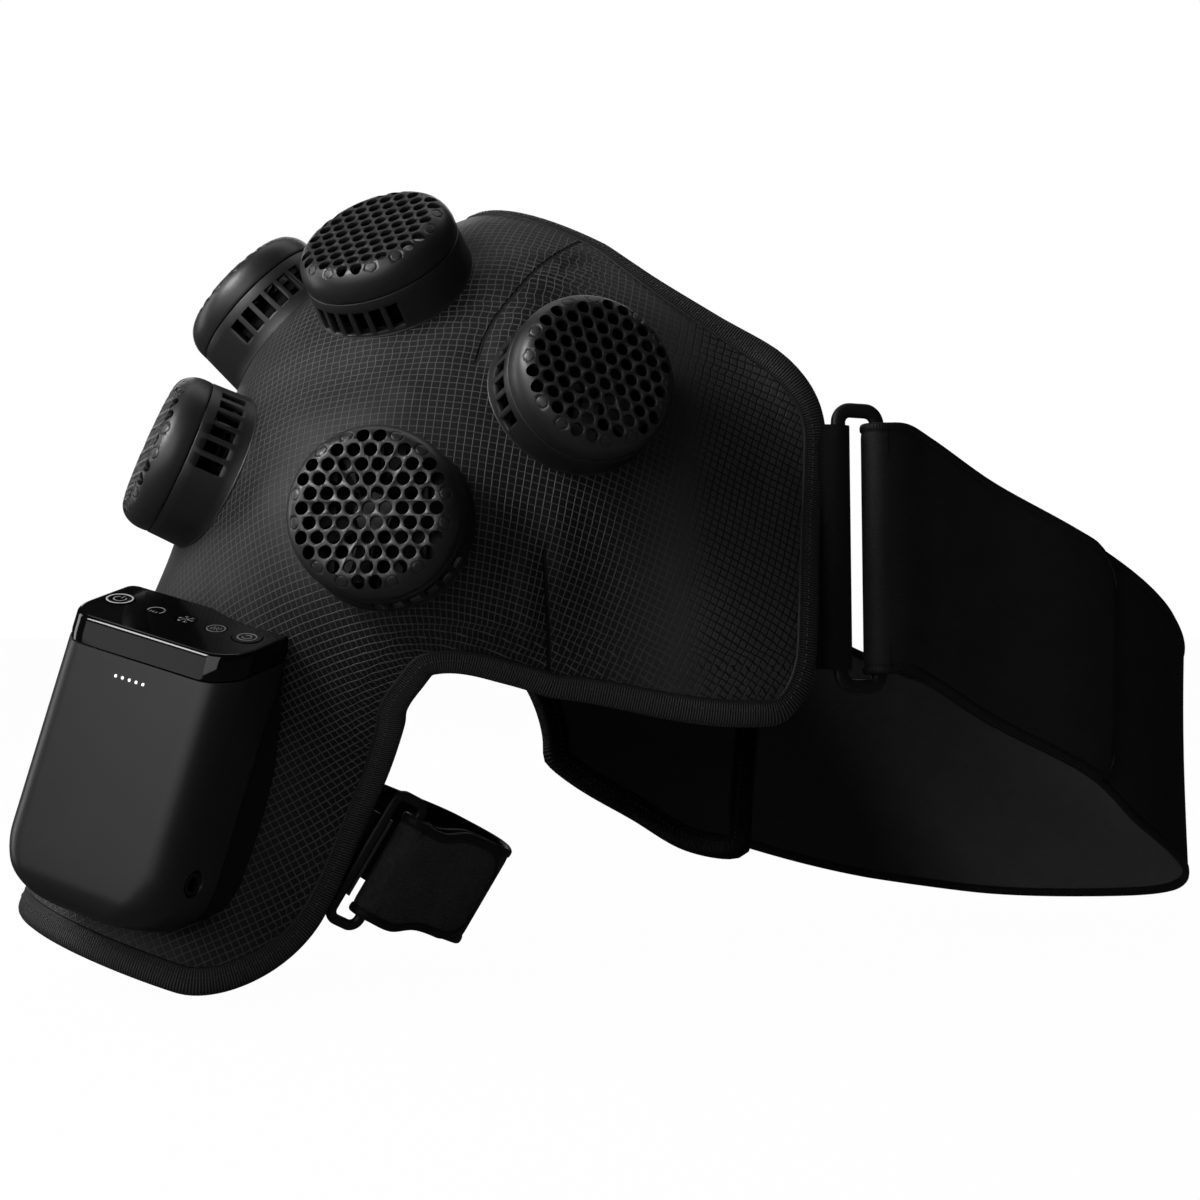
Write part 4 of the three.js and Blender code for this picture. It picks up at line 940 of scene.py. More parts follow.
def drape(points, normals):
    """How far the cloth stands off the moulded form."""
    slow, cross, quick = (np.sin(points @ np.array(way) + start) for way, start in SWELLS)
    lift = 0.35 * slow * cross
    lift += 0.15 * quick
    for line, half, height in FOLDS:
        path = skin([a for a, _ in line], [b for _, b in line])
        distance, _, share = line_distance(points, path)
        ends = eased(np.clip(share, 0, 1) * 3.0) * eased((1 - np.clip(share, 0, 1)) * 3.0)
        lift += height * np.exp(-(distance / half) ** 2) * ends
    return lift


def flat_pattern(grid, step=3):
    """The moulded cloth laid flat with the least stretch, in millimetres, and level beside the front pod."""
    picks = [np.unique(np.append(np.arange(0, size, step), size - 1)) for size in grid.shape[:2]]
    coarse = grid[np.ix_(*picks)]
    rows, columns = coarse.shape[:2]
    faces = grid_faces(rows, columns)
    mesh = mesh_of("pattern", coarse.reshape(-1, 3), faces, [], np.zeros((rows * columns, 2)))
    laid = object_of(mesh)
    bpy.context.view_layer.objects.active = laid
    laid.select_set(True)
    bpy.ops.object.mode_set(mode="EDIT")
    bpy.ops.mesh.select_all(action="SELECT")
    bpy.ops.uv.unwrap(method="MINIMUM_STRETCH", iterations=12, margin=0)
    bpy.ops.object.mode_set(mode="OBJECT")
    mesh = laid.data
    corners, places = np.empty(len(mesh.loops), np.int32), np.empty(len(mesh.loops) * 2, np.float32)
    mesh.loops.foreach_get("vertex_index", corners)
    mesh.uv_layers["cloth"].data.foreach_get("uv", places)
    flat = np.empty((rows * columns, 2))
    flat[corners] = places.reshape(-1, 2)
    bpy.data.objects.remove(laid)
    bpy.data.meshes.remove(mesh)
    flat = flat.reshape(rows, columns, 2)
    real, drawn = (sum(np.linalg.norm(np.diff(net, axis=k), axis=-1).sum() for k in (0, 1))
                   for net in (coarse, flat))
    flat = flat * (real / drawn)
    station, angle = pattern(picks[0] / (grid.shape[0] - 1), shell_columns()[picks[1]])
    away = ((station - LEVEL_STATION) ** 2 + (angle - LEVEL_ANGLE) ** 2 * 3)[:-1, :-1]
    i, j = np.unravel_index(away.argmin(), away.shape)
    ways = np.stack([coarse[i + 1, j] - coarse[i, j], coarse[i, j + 1] - coarse[i, j]], 1)
    shares = np.linalg.lstsq(ways, np.array([1.0, 0, 0]), rcond=None)[0]
    level = shares[0] * (flat[i + 1, j] - flat[i, j]) + shares[1] * (flat[i, j + 1] - flat[i, j])
    turn = math.atan2(level[1], level[0])
    c, s = math.cos(turn), math.sin(turn)
    flat = flat @ np.array([[c, -s], [s, c]])
    for axis in (1, 0):
        places = np.arange(grid.shape[axis])
        flat = np.apply_along_axis(lambda row: np.interp(places, picks[axis], row), axis, flat)
    return flat


def make_shell():
    """The shell's two cloth faces and its rim as one closed piece, with seats cut for the pods."""
    rows, columns = np.linspace(0, 1, SHELL_ROWS), shell_columns()
    station, angle = pattern(rows, columns)
    outer = skin(station, angle)
    normal = skin_normal(outer)
    flat = outer.reshape(-1, 3)
    marks = {"seam": np.full(len(flat), FAR_AWAY), "seam_on": np.zeros(len(flat))}
    groove = np.zeros(len(flat))
    for seam in SEAMS:
        path = smooth_line(skin([a for a, _ in seam], [b for _, b in seam]), 3)
        distance, side, share = line_distance(flat, path)
        here = distance < np.abs(marks["seam"])
        marks["seam"][here] = (distance * np.where(side < 0, -1, 1))[here]
        on = eased((share + 0.02) * 25) * eased((1.04 - share) * 25) * (distance < 12)
        marks["seam_on"] = np.where(here, on, marks["seam_on"])
        # A furrow along the seam, and the cloth's swell beside it
        swell = 0.9 * np.exp(-((distance * side + 7) / 5.0) ** 2)
        groove += (0.7 * np.exp(-(distance / 3.2) ** 2) - swell) * on
    lift = (drape(flat, normal.reshape(-1, 3)) - groove).reshape(station.shape)
    # The edges stay where the tape holds them
    edge = np.minimum.outer(np.minimum(rows, 1 - rows) * 18, np.full(len(columns), 1.0))
    edge = np.minimum(edge, (np.minimum(columns, 1 - columns) * 24)[None, :])
    lift = lift * eased(edge)
    faces_of_cloth = [outer + (off + lift)[..., None] * normal for off in (0.0, -THICKNESS)]
    points = np.concatenate([points.reshape(-1, 3) for points in faces_of_cloth])
    cloth = flat_pattern(outer).reshape(-1, 2)
    uv = np.concatenate([cloth, cloth])
    count, n, m = len(flat), len(rows), len(columns)
    front = grid_faces(n, m)
    back = grid_faces(n, m, start=count, flip=True)
    rim = rim_of(n, m)
    walls = [(a, b, b + count, a + count) for a, b in zip(rim, np.roll(rim, -1))]
    faces = front.tolist() + back.tolist() + walls
    kinds = [0] * len(front) + [1] * (len(back) + len(walls))
    off = {"seam": FAR_AWAY, "seam_on": 0}
    marks = {key: np.concatenate([value, value * 0 + off[key]]) for key, value in marks.items()}
    mesh = mesh_of("shell_cloth", points, faces, [RIPSTOP, LINING], uv, marks, kinds)
    face_out(mesh, weld=False)
    shell = object_of(mesh)
    cuts = ((POD_BORE, POD_BORE_LOW), (POD_LEDGE, POD_LEDGE_LOW))
    tools = [plug(seat, *cut, POD_CUT_TOP, LINING) for seat in POD_SEATS.values() for cut in cuts]
    cut_from(shell, tools, 60)
    settle(shell, nodes=["shell"])
    return outer, normal, rim


def rim_of(rows, columns):
    """Numbers of the points round the edge of a grid."""
    rim = [(0, j) for j in range(columns - 1)] + [(i, columns - 1) for i in range(rows - 1)]
    rim += [(rows - 1, j) for j in range(columns - 1, 0, -1)] + [(i, 0) for i in range(rows - 1, 0, -1)]
    return np.array([i * columns + j for i, j in rim])


# One side of the binding as (past the rim, off the shell's face): lip, flat band, and the rounded fold
TAPE_SIDE = [(-1.9, -0.6), (-1.9, 0.35), (-1.45, 0.72), (-0.8, 0.80), (-0.35, 0.55), (0.15, 0.72), (1.2, 0.82),
             (2.8, 0.84), (4.6, 0.76), (6.0, 0.50), (7.1, -0.1), (7.9, -1.1), (8.3, -2.4)]
TAPE_REACH, TAPE_STEP = 8.42, 1.9
STITCH_IN, STITCH_LIFT = 1.9, 0.92
STITCH = {"Pitch": 0.0024, "Length": 0.0015, "Width": 0.00045}


def make_edge_tape(outer, normal, rim):
    """Binding folded round the rim, with a lip over each face, and a row of stitches on both."""
    edge = outer.reshape(-1, 3)[rim]
    across = normal.reshape(-1, 3)[rim]
    length = np.concatenate([[0], np.cumsum(np.linalg.norm(np.diff(edge, axis=0), axis=1))])
    total = length[-1] + np.linalg.norm(edge[0] - edge[-1])
    length = np.append(length, total)
    at = np.linspace(0, total, int(total / TAPE_STEP), endpoint=False)

    def even(values):
        return np.stack([np.interp(at, length, np.append(column, column[0])) for column in values.T], 1)

    edge, across = even(edge), unit(even(across))
    forward = unit(np.roll(edge, -1, 0) - np.roll(edge, 1, 0))
    away = np.cross(forward, across)
    inside = outer[outer.shape[0] // 2, outer.shape[1] // 2]
    if np.mean(np.einsum("ij,ij->i", away, edge - inside)) < 0:
        away = -away
    for _ in range(3):
        away = unit(np.roll(away, 1, 0) + 2 * away + np.roll(away, -1, 0))
    half = THICKNESS / 2
    middle_line = edge - across * half
    side = [(past, half + rise) for past, rise in TAPE_SIDE] + [(TAPE_REACH, 0)]
    profile = side + [(a, -b) for a, b in side[-2::-1]]
    reach = np.concatenate([[0], np.cumsum([math.dist(a, b) for a, b in zip(profile, profile[1:])])])
    reach = np.minimum(reach, reach[-1] - reach)
    rings = np.stack([middle_line + a * away + b * across for a, b in profile], 1)
    rows, columns = rings.shape[:2]
    points = np.concatenate([rings.reshape(-1, 3), rings[0]])
    uv = np.stack([np.repeat(np.append(at, total), columns), np.tile(reach, rows + 1)], -1)
    starts = range(0, rows * columns, columns)
    closing = [(k, k + columns - 1, k + 2 * columns - 1, k + columns) for k in starts]
    mesh = mesh_of("edge_tape_cloth", points, grid_faces(rows + 1, columns).tolist() + closing, [TAPE], uv)
    face_out(mesh)
    mesh.shade_smooth()
    tape = object_of(mesh)
    settle(tape, nodes=["edge_tape"])
    stitches = stitch_maker()
    for name, sign in (("front", 1), ("lining", -1)):
        line = middle_line + STITCH_IN * away + sign * (half + STITCH_LIFT) * across
        sewn = bpy.data.meshes.new(f"tape_stitches_{name}")
        sewn.from_pydata((line * MM).tolist(), [(i, (i + 1) % len(line)) for i in range(len(line))], [])
        row = object_of(sewn)
        stitches.run(row, **STITCH)
        row.data.shade_smooth()
        settle(row)


make_edge_tape(*make_shell())


# ---------------------------------------------------------------- fan pods
POD_RADIUS, POD_DRAFT, POD_WALL, WALL_HEIGHT, POD_HEIGHT, CAP_WALL = 31.0, 0.6, 2.0, 14.0, 26.4, 1.8
CAP_RIM = POD_RADIUS - POD_DRAFT
RIM_WIDTH, RIM_STEP = 7.2, 2.6
RIM_START = CAP_RIM - RIM_WIDTH
RIM_FOOT, RIM_HEIGHT = WALL_HEIGHT + GAP + RIM_STEP, POD_HEIGHT - WALL_HEIGHT - GAP - 2.75
BORE = CAP_RIM - POD_WALL
HOLES = {"Pitch": 0.0058, "Radius": 0.00234, "Through": 0.0259, "Reach": 0.0272, "Top": 0.0250}
VENTS = {"Count": 6, "Step": math.radians(12.4), "Radius": POD_RADIUS * MM, "Deep": 0.009, "Width": 0.0045,
         "Height": 0.0092, "Foot": 0.0008}
FOOT_LIP, FOOT_EDGE, FOOT_TOP, FOOT_OVERLAP, FOOT_RANGE = 0.25, 0.9, 1.1, 0.6, (-9.5, 4.0)


def arc(cx, cz, radius_x, radius_z, from_turn, to_turn, steps):
    turns = np.radians(np.linspace(from_turn, to_turn, steps))
    return [(cx + radius_x * math.cos(t), cz + radius_z * math.sin(t)) for t in turns]


def cap_mesh():
    """Round-shouldered lid with its field of round holes."""
    seam, under = WALL_HEIGHT + GAP, POD_HEIGHT - CAP_WALL
    inside = [(0, under), (18, under - 0.05)]
    inside += arc(BORE - 6.4, seam + 3, 6.4, under - seam - 3.2, 90, 0, 9) + [(BORE, seam)]
    outside = [(CAP_RIM - 0.25, seam), (CAP_RIM - 0.06, seam + 0.15), (CAP_RIM, seam + 1.2)]
    outside += arc(RIM_START, seam + RIM_STEP, RIM_WIDTH, POD_HEIGHT - seam - 2.75, 0, 90, 15)
    outside += [(18, POD_HEIGHT - 0.06), (9, POD_HEIGHT - 0.02), (0, POD_HEIGHT)]
    cap = object_of(turned_solid("pod_cap", inside + outside, CAP, 96), "cap_draft")
    hole_maker().run(cap, **HOLES)
    return bevelled(cap, 0.13)


def housing_mesh(seat, middle_of_vents, vents):
    """Drafted wall whose foot follows the skin, with its vents cut through."""
    turn = np.linspace(0, 2 * math.pi, 120, endpoint=False)
    foot = seat.height_of_skin(POD_RADIUS * np.cos(turn), POD_RADIUS * np.sin(turn), 14.0)
    foot = np.clip(foot - FOOT_OVERLAP, *FOOT_RANGE)
    low, start, lip = foot - 0.8, foot + FOOT_TOP, POD_RADIUS + FOOT_LIP
    rise = WALL_HEIGHT - 0.3 - foot - FOOT_TOP
    outline = [(BORE, low), (lip, low), (lip, foot + FOOT_EDGE), (POD_RADIUS, start)]
    outline += [(POD_RADIUS - POD_DRAFT * t, start + rise * t) for t in (0.2, 0.4, 0.6, 0.8, 1.0)]
    outline += [(CAP_RIM - 0.12, WALL_HEIGHT - 0.1), (CAP_RIM - 0.3, WALL_HEIGHT), (BORE, WALL_HEIGHT)]
    rings = [np.stack([r * np.cos(turn), r * np.sin(turn), z + 0 * turn], -1) for r, z in outline]
    housing = object_of(lofted("pod_housing", rings, CASING, ends=False), "housing_draft")
    vents.run(housing, First=math.radians(middle_of_vents - 31), **VENTS)
    return bevelled(housing, 0.25)


def make_pods():
    vents, perforated = vent_maker(), cap_mesh()
    for name, seat in POD_SEATS.items():
        cap = perforated.copy()
        cap.transform(Matrix.Rotation(math.radians(CAP_TURNS[name]), 4, "Z"))
        wall = housing_mesh(seat, PODS[name][5], vents)
        pieces = ((cap, "grille", "cap", "pod_cap"), (wall, "wall", "housing", "pod_casing"))
        for mesh, piece, part, slot in pieces:
            into_frame(mesh, seat)
            settle(object_of(mesh, f"pod_{name}_{piece}"), nodes=[f"pod_{name}_{part}"])


make_pods()


# ---------------------------------------------------------------- battery and control pack
FOOT_ROUND, TOE_ROUND, FRONT_ROUND, BACK_ROUND = 23.0, 11.0, 12.0, 3.0
LIGHT_FIRST, LIGHT_STEP, LIGHT_HEIGHT = -7.4, 3.1, 84.0
JACK_IN, JACK_HEIGHT, JACK_DEEP = 12.0, 22.5, 16.0
JACK_WELL = [(0, 2), (4.55, 2), (4.55, 10.9), (5.6, 12.4), (5.6, 16), (0, 16)]
# Radius, depth and steps of the wells in the panel
BUTTON_WELL, WINDOW_WELL = (5.75, 3.05, 48), (4.25, 1.5, 40)
LIGHT_LENS = [(0, -0.5), (0.6, -0.5), (0.6, -0.12), (0.45, 0.0), (0, 0.05)]
# Places across the panel
POWER_X, BATTERY_X, COLD_X, HEAT_X, MODE_X = -30.0, -12.9, 0.8, 14.5, 28.4


def rounded(corners, steps=12):
    """Places and turns round an outline from its corners: middle, radius and first degree of each."""
    places = []
    for cx, cy, radius, first in corners:
        for turn in (math.radians(first + 90 * k / steps) for k in range(steps + 1)):
            places.append((cx + radius * math.cos(turn), cy + radius * math.sin(turn), turn))
    return places


def pack_section(height, wide, deep, front, back):
    """Plan of the pack at one height, as points round it."""
    corners = ((wide - front, deep - front, front, 0), (front - wide, deep - front, front, 90),
               (back - wide, back, back, 180), (wide - back, back, back, 270))
    return np.array([(x, height, z) for x, z, _ in rounded(corners)])


def slanted(ring, fall):
    """Height of the pack's slanted top at a ring's points, less a fall."""
    return PACK_HEIGHT / 2 + (PACK_DEPTH - ring[:, 2]) * PACK_SLOPE - fall


def case_rings(drop):
    """Rings of the pack from its rounded foot up to a slanted line."""
    half, rings = PACK_WIDTH / 2, []
    for turn in np.radians(np.linspace(0, 90, 22)):
        rise = FOOT_ROUND * (1 - math.cos(turn))
        wide = half - FOOT_ROUND + FOOT_ROUND * math.sin(turn)
        near = max(TOE_ROUND - rise, 0)
        deep = PACK_DEPTH - TOE_ROUND + math.sqrt(max(TOE_ROUND * TOE_ROUND - near * near, 0))
        front = min(FRONT_ROUND, wide * 0.8, deep * 0.6)
        back = BACK_ROUND + 2.5 * (1 - math.sin(turn))
        rings.append(pack_section(rise - PACK_HEIGHT / 2, wide, deep, front, back))
    plain = pack_section(FOOT_ROUND - PACK_HEIGHT / 2, half, PACK_DEPTH, FRONT_ROUND, BACK_ROUND)
    for share in np.linspace(0.05, 1, 20):
        ring = plain.copy()
        ring[:, 1] += share * (slanted(ring, drop) - ring[:, 1])
        rings.append(ring)
    return rings


def band_rings():
    """Rings of the cap's band between its two slanted lines."""
    plain = pack_section(0, PACK_WIDTH / 2, PACK_DEPTH, FRONT_ROUND, BACK_ROUND)
    rings = []
    for share in np.linspace(0, 1, 5):
        ring = plain.copy()
        ring[:, 1] = slanted(ring, BAND_HEIGHT - share * BAND_HEIGHT)
        rings.append(ring)
    return rings


def shrunk(ring, by, rise):
    """A ring drawn in from the outline by a distance and raised."""
    centre = ring.mean(0)
    flat = ring[:, [0, 2]] - centre[[0, 2]]
    moved = ring.copy()
    moved[:, [0, 2]] = centre[[0, 2]] + flat * (1 - by / np.abs(flat).max(0))
    moved[:, 1] = moved[:, 1] + rise + (ring[:, 2] - moved[:, 2]) * PACK_SLOPE
    return moved


def panel_at(x):
    """Seat on the slanted panel."""
    tilt = math.atan2(PACK_DEPTH, PACK_RISE)
    c, s = math.cos(tilt), math.sin(tilt)
    place = [x, PACK_HEIGHT / 2 + (PACK_DEPTH - PANEL_FROM_BACK) * PACK_SLOPE, PANEL_FROM_BACK]
    return Seat.framed(pack_seat.at(place), pack_seat.across, c * pack_seat.up - s * pack_seat.out,
                       c * pack_seat.out + s * pack_seat.up)


def make_case():
    rings = case_rings(BAND_HEIGHT + GAP)
    rings += [shrunk(rings[-1], 0.35, -0.05), shrunk(rings[-1], 0.8, -0.9)]
    body = object_of(lofted("pack_case", rings, PACK, crease=50))
    into_frame(body.data, pack_seat)
    place = [PACK_WIDTH / 2 - JACK_IN, JACK_HEIGHT - PACK_HEIGHT / 2, JACK_DEEP]
    jack_at = Seat.framed(pack_seat.at(place), -pack_seat.out, pack_seat.up, pack_seat.across)
    tools, joined = [cutter(jack_at, JACK_WELL, PACK, 40)], bmesh.new()
    for k in range(5):
        place = [LIGHT_FIRST + LIGHT_STEP * k, LIGHT_HEIGHT - PACK_HEIGHT / 2, PACK_DEPTH]
        spot = Seat.framed(pack_seat.at(place), pack_seat.across, pack_seat.up, pack_seat.out)
        tools.append(plug(spot, 0.8, -0.6, 3, PACK, 24))
        light = turned_solid("light", LIGHT_LENS, LIGHT, 24)
        into_frame(light, spot)
        joined.from_mesh(light)
    cut_from(body, tools, 40)
    settle(body, nodes=["pack_body"])
    row = bpy.data.meshes.new("charge_light_row")
    joined.to_mesh(row)
    joined.free()
    row.materials.append(LIGHT)
    row.shade_smooth()
    settle(object_of(row), nodes=["charge_lights"])


def make_cap():
    low, *middle_rings, high = band_rings()
    rings = [shrunk(low, 0.8, 0.0), shrunk(low, 0.3, 0.12), *middle_rings]
    rings += [shrunk(high, by, rise) for by, rise in ((0.0, -0.9), (0.3, -0.3), (0.9, 0.0), (1.3, 0.0))]
    cap = object_of(lofted("pack_cap", rings, GLOSS, crease=60))
    into_frame(cap.data, pack_seat)
    wells = [(x, *BUTTON_WELL) for x in (POWER_X, MODE_X)]
    wells += [(x, *WINDOW_WELL) for x in (BATTERY_X, COLD_X, HEAT_X)]
    cut_from(cap, [plug(panel_at(x), radius, -deep, 3, GLOSS, steps) for x, radius, deep, steps in wells], 30)
    settle(cap, nodes=["control_cap"])


make_case()
make_cap()


# ---------------------------------------------------------------- print on the panel
PRINT_THICKNESS, ON_BUTTON, ON_WINDOW = 0.06, 0.31, 0.01


def stroke(path, width, closed=False):
    """Outline of a line of some width through flat points, as left and right points."""
    path = np.array(path, float)
    after = np.roll(path, -1, 0) if closed else np.vstack([path[1:], 2 * path[-1] - path[-2]])
    before = np.roll(path, 1, 0) if closed else np.vstack([2 * path[0] - path[1], path[:-1]])
    along = unit(after - before)
    side = np.stack([-along[:, 1], along[:, 0]], 1) * width / 2
    return path + side, path - side


def print_mark(name, x, height, body, look, strokes):
    """Thin raised print from strokes of (points, width, closed)."""
    points, faces = [], []
    for path, width, closed in strokes:
        left, right = stroke(path, width, closed)
        n, start = len(left), sum(map(len, points))
        for z in (height, height + PRINT_THICKNESS):
            points += [np.column_stack([flat, np.full(n, z)]) for flat in (left, right)]
        a, b, c, d = (start + k * n for k in range(4))
        for i in range(n if closed else n - 1):
            j = (i + 1) % n
            faces += [(c + i, c + j, d + j, d + i), (a + i, b + i, b + j, a + j),
                      (a + i, a + j, c + j, c + i), (b + i, d + i, d + j, b + j)]
        if not closed:
            faces += [(a + i, c + i, d + i, b + i) for i in (0, n - 1)]
    mesh = mesh_of(name, np.concatenate(points), faces, [look])
    face_out(mesh)
    into_frame(mesh, panel_at(x))
    settle(object_of(mesh), body)


def round_path(radius, start=0, end=360, steps=40):
    turns = np.radians(np.linspace(start, end, steps, endpoint=end - start < 360))
    return [(radius * math.cos(t), radius * math.sin(t)) for t in turns]


def ring_of(radius, width):
    return [(round_path(radius), width, True)]


def snowflake():
    strokes = []
    for turn in range(0, 360, 60):
        c, s = math.cos(math.radians(turn)), math.sin(math.radians(turn))
        strokes.append(([(0.35 * c, 0.35 * s), (3.2 * c, 3.2 * s)], 0.42, False))
        for lean in (40, -40):
            a = math.radians(turn + lean)
            tip = (2.0 * c + 1.1 * math.cos(a), 2.0 * s + 1.1 * math.sin(a))
            strokes.append(([(2.0 * c, 2.0 * s), tip], 0.34, False))
    return strokes


def wave_line(x):
    return ([(x + 0.35 * math.sin(y * 2.4), y) for y in np.linspace(-1.5, 1.5, 9)], 0.4, False)


POWER_SIGN = [(round_path(2.3, 125, 415, 30), 0.5, False), ([(0, 0.7), (0, 2.9)], 0.5, False)]
MODE_SIGN = ring_of(3.4, 0.55) + [(round_path(1.7, 200, 500, 24), 0.45, False)]
GAUGE = [(round_path(3.1, -30, 210, 30), 0.55, False)]
GAUGE += [([(x, -1.0), (x, -2.3)], 0.5, False) for x in (-1.3, 0, 1.3)]
WARM_SIGN = ring_of(3.3, 0.5) + [wave_line(x) for x in (-1.3, 0, 1.3)]
print_mark("power_ring", POWER_X, ON_BUTTON, "power_button", PRINT, ring_of(4.7, 0.75))
print_mark("power_sign", POWER_X, ON_BUTTON, "power_button", DIM_PRINT, POWER_SIGN)
print_mark("mode_sign", MODE_X, ON_BUTTON, "mode_button", DIM_PRINT, MODE_SIGN)
print_mark("battery_sign", BATTERY_X, ON_WINDOW, ROOT, DIM_PRINT, GAUGE)
print_mark("cold_sign", COLD_X, ON_WINDOW, ROOT, DIM_PRINT, snowflake())
print_mark("heat_sign", HEAT_X, ON_WINDOW, ROOT, DIM_PRINT, WARM_SIGN)


# ---------------------------------------------------------------- rings and straps
RINGS = {
    "chest": dict(seat=(1.006, 103.5, -0.25, 0.17, -3.0, -1.5), length=110.0, width=22.0, bar=5.6, thick=3.6,
                  corner=5.0),
    "arm": dict(seat=(0.178, 153.5, 0, 0, -3.5, -27.0), length=56.0, width=17.0, bar=4.0, thick=3.2,
                corner=4.0),
}
# The course of each strap goes through shares of its reach, depth and drop
STRAPS = {
    "chest": dict(
        width=95.0, reach=146.0, depth=206.0, drop=108.0, stretch=120.0, tail=122.0, slant=100.0,
        shares=[(0.32, 0.12, -0.19), (0.64, 0.23, -0.41), (0.87, 0.37, -0.65), (0.99, 0.55, -0.82),
                (0.985, 0.73, -0.93), (0.82, 0.9, -0.99), (0.51, 1, -1), (0.19, 0.97, -0.92)]),
    "arm": dict(
        width=42.0, reach=34.0, depth=86.0, drop=18.0, stretch=50.0, tail=47.0, slant=45.0,
        shares=[(0.52, 0.17, -0.36), (0.87, 0.34, -0.75), (0.99, 0.55, -0.97), (0.87, 0.78, -0.86),
                (0.37, 0.94, -0.42)]),
}
STRAP_THICKNESS, LAYER_GAP, SETTLE, SWING = 2.6, 0.7, 24.0, math.radians(6)
FOLD_STEPS, FOLD_SAG = 17, math.cos(math.pi / 12)
BAND_STEPS, BAND_START, COURSE_STEP, LINING_FADE = 170, 1.5, 1.2, 60
RING_SIDES, RING_POWER = 20, 0.75
TAB_THICKNESS, TAB_GAP, TAB_BACK, TAB_HALF, TAB_BEVEL = 1.3, 0.4, 9.5, 46.0, 0.3
TAIL_ROUND, TAIL_ROUND_STEPS, BOUND_ROWS = 12, 12, 4
# Edge of a strap's section as (in from the edge, off the middle, bound)
STRAP_EDGE = [(0.0, 0.0, 1), (0.12, 0.75, 1), (0.6, 1.25, 1), (1.4, 1.42, 1), (2.4, 1.38, 1), (3.1, 1.15, 1),
              (3.45, 0.72, 1), (3.9, 0.88, 0), (5.5, 1.0, 0)]
LINED_COLUMNS = range(7, 18)


def ease(value):
    return float(eased(np.array(value)))


def make_ring(name, ring, seat):
    """Rectangular loop with round corners. Its section is between an oval and a rounded rectangle."""
    right, half, corner = ring["width"] - ring["bar"], (ring["length"] - ring["bar"]) / 2, ring["corner"]
    corners = ((right - corner, half - corner, corner, 0), (corner, half - corner, corner, 90),
               (corner, corner - half, corner, 180), (right - corner, corner - half, corner, 270))
    section = []
    for k in range(RING_SIDES):
        c, s = math.cos(2 * math.pi * k / RING_SIDES), math.sin(2 * math.pi * k / RING_SIDES)
        section.append((ring["bar"] / 2 * math.copysign(abs(c) ** RING_POWER, c),
                        ring["thick"] / 2 * math.copysign(abs(s) ** RING_POWER, s)))
    rings = [[(x + out * math.cos(turn), y + out * math.sin(turn), z) for out, z in section]
             for x, y, turn in rounded(corners)]
    mesh = lofted(f"{name}_loop", rings, RING, ends=False, crease=70)
    into_frame(mesh, seat)
    settle(object_of(mesh), f"{name}_ring", nodes=[f"{name}_ring"])


def make_tab(name, ring, seat):
    """Cloth tab folded round the ring's near bar, with both its ends sewn to the edge."""
    wide, deep = (ring[side] / 2 + TAB_GAP + TAB_THICKNESS / 2 for side in ("bar", "thick"))
    line = [(k - TAB_BACK, -1.0 - (deep - 1.0) * ease(k / 8.5)) for k in np.arange(0, TAB_BACK, 0.9)]
    line += [(wide * math.sin(a), -deep * math.cos(a)) for a in np.linspace(0.1, math.pi - 0.1, 18)]
    line += [(x, -z) for x, z in line[10::-1]]
    left, right = stroke(line, TAB_THICKNESS)
    outline = np.concatenate([left, right[::-1]])
    across = (-TAB_HALF, TAB_BEVEL - TAB_HALF, 0, TAB_HALF - TAB_BEVEL, TAB_HALF)
    rings = [np.column_stack([outline[:, 0], np.full(len(outline), y), outline[:, 1]]) for y in across]
    rows, columns, count = len(rings), len(outline), len(left)
    faces = grid_faces(rows, columns, closed=True).tolist()
    for start in (0, (rows - 1) * columns):
        end = start + columns - 1
        faces += [[start + k, start + k + 1, end - 1 - k, end - k] for k in range(count - 1)]
    run = np.concatenate([[0], np.cumsum(np.linalg.norm(np.diff(outline, axis=0), axis=1))])
    uv = np.concatenate([np.stack([row[:, 1], run + 4], -1) for row in rings])
    marks = {"bound": np.ones(rows * columns)}
    mesh = mesh_of(f"{name}_tab_cloth", np.concatenate(rings), faces, [LOOP], uv, marks)
    face_out(mesh)
    smooth(mesh, 50)
    into_frame(mesh, seat)
    tab = settle(object_of(mesh), nodes=[f"{name}_ring_tab"])


class Course:
    """Middle line of a strap, with the frame at each distance along it."""

    def __init__(self, ring, seat, strap, end):
        start = seat.at([ring["width"] - ring["bar"], 0, 0])
        self.right, self.up, self.slant = seat.across, seat.up, strap["slant"]
        size = np.array([strap["reach"], strap["depth"], strap["drop"]])
        knots = [start, start + self.right * SETTLE / 2]
        knots += [start + np.array(shares) * size for shares in strap["shares"]] + [end]
        self.points = smooth_line(np.array(knots), 60)
        steps = np.linalg.norm(np.diff(self.points, axis=0), axis=1)
        self.run = np.concatenate([[0], np.cumsum(steps)])
        self.length = self.run[-1]

    def pick(self, distance):
        distance = np.clip(distance, 0, self.length)
        return np.array([np.interp(distance, self.run, self.points[:, k]) for k in range(3)])

    def at(self, distance):
        """Place, and the ways along, across and out. The strap keeps its ring's slant at first."""
        distance = np.clip(distance, 0, self.length)
        along = self.right
        if distance > 0:
            along = unit(self.pick(distance + COURSE_STEP) - self.pick(distance - COURSE_STEP))
        share = eased(np.array((distance - self.slant) / self.slant))
        across = unit(self.up - along * (self.up @ along) * share)
        return self.pick(distance), along, across, unit(np.cross(along, across))


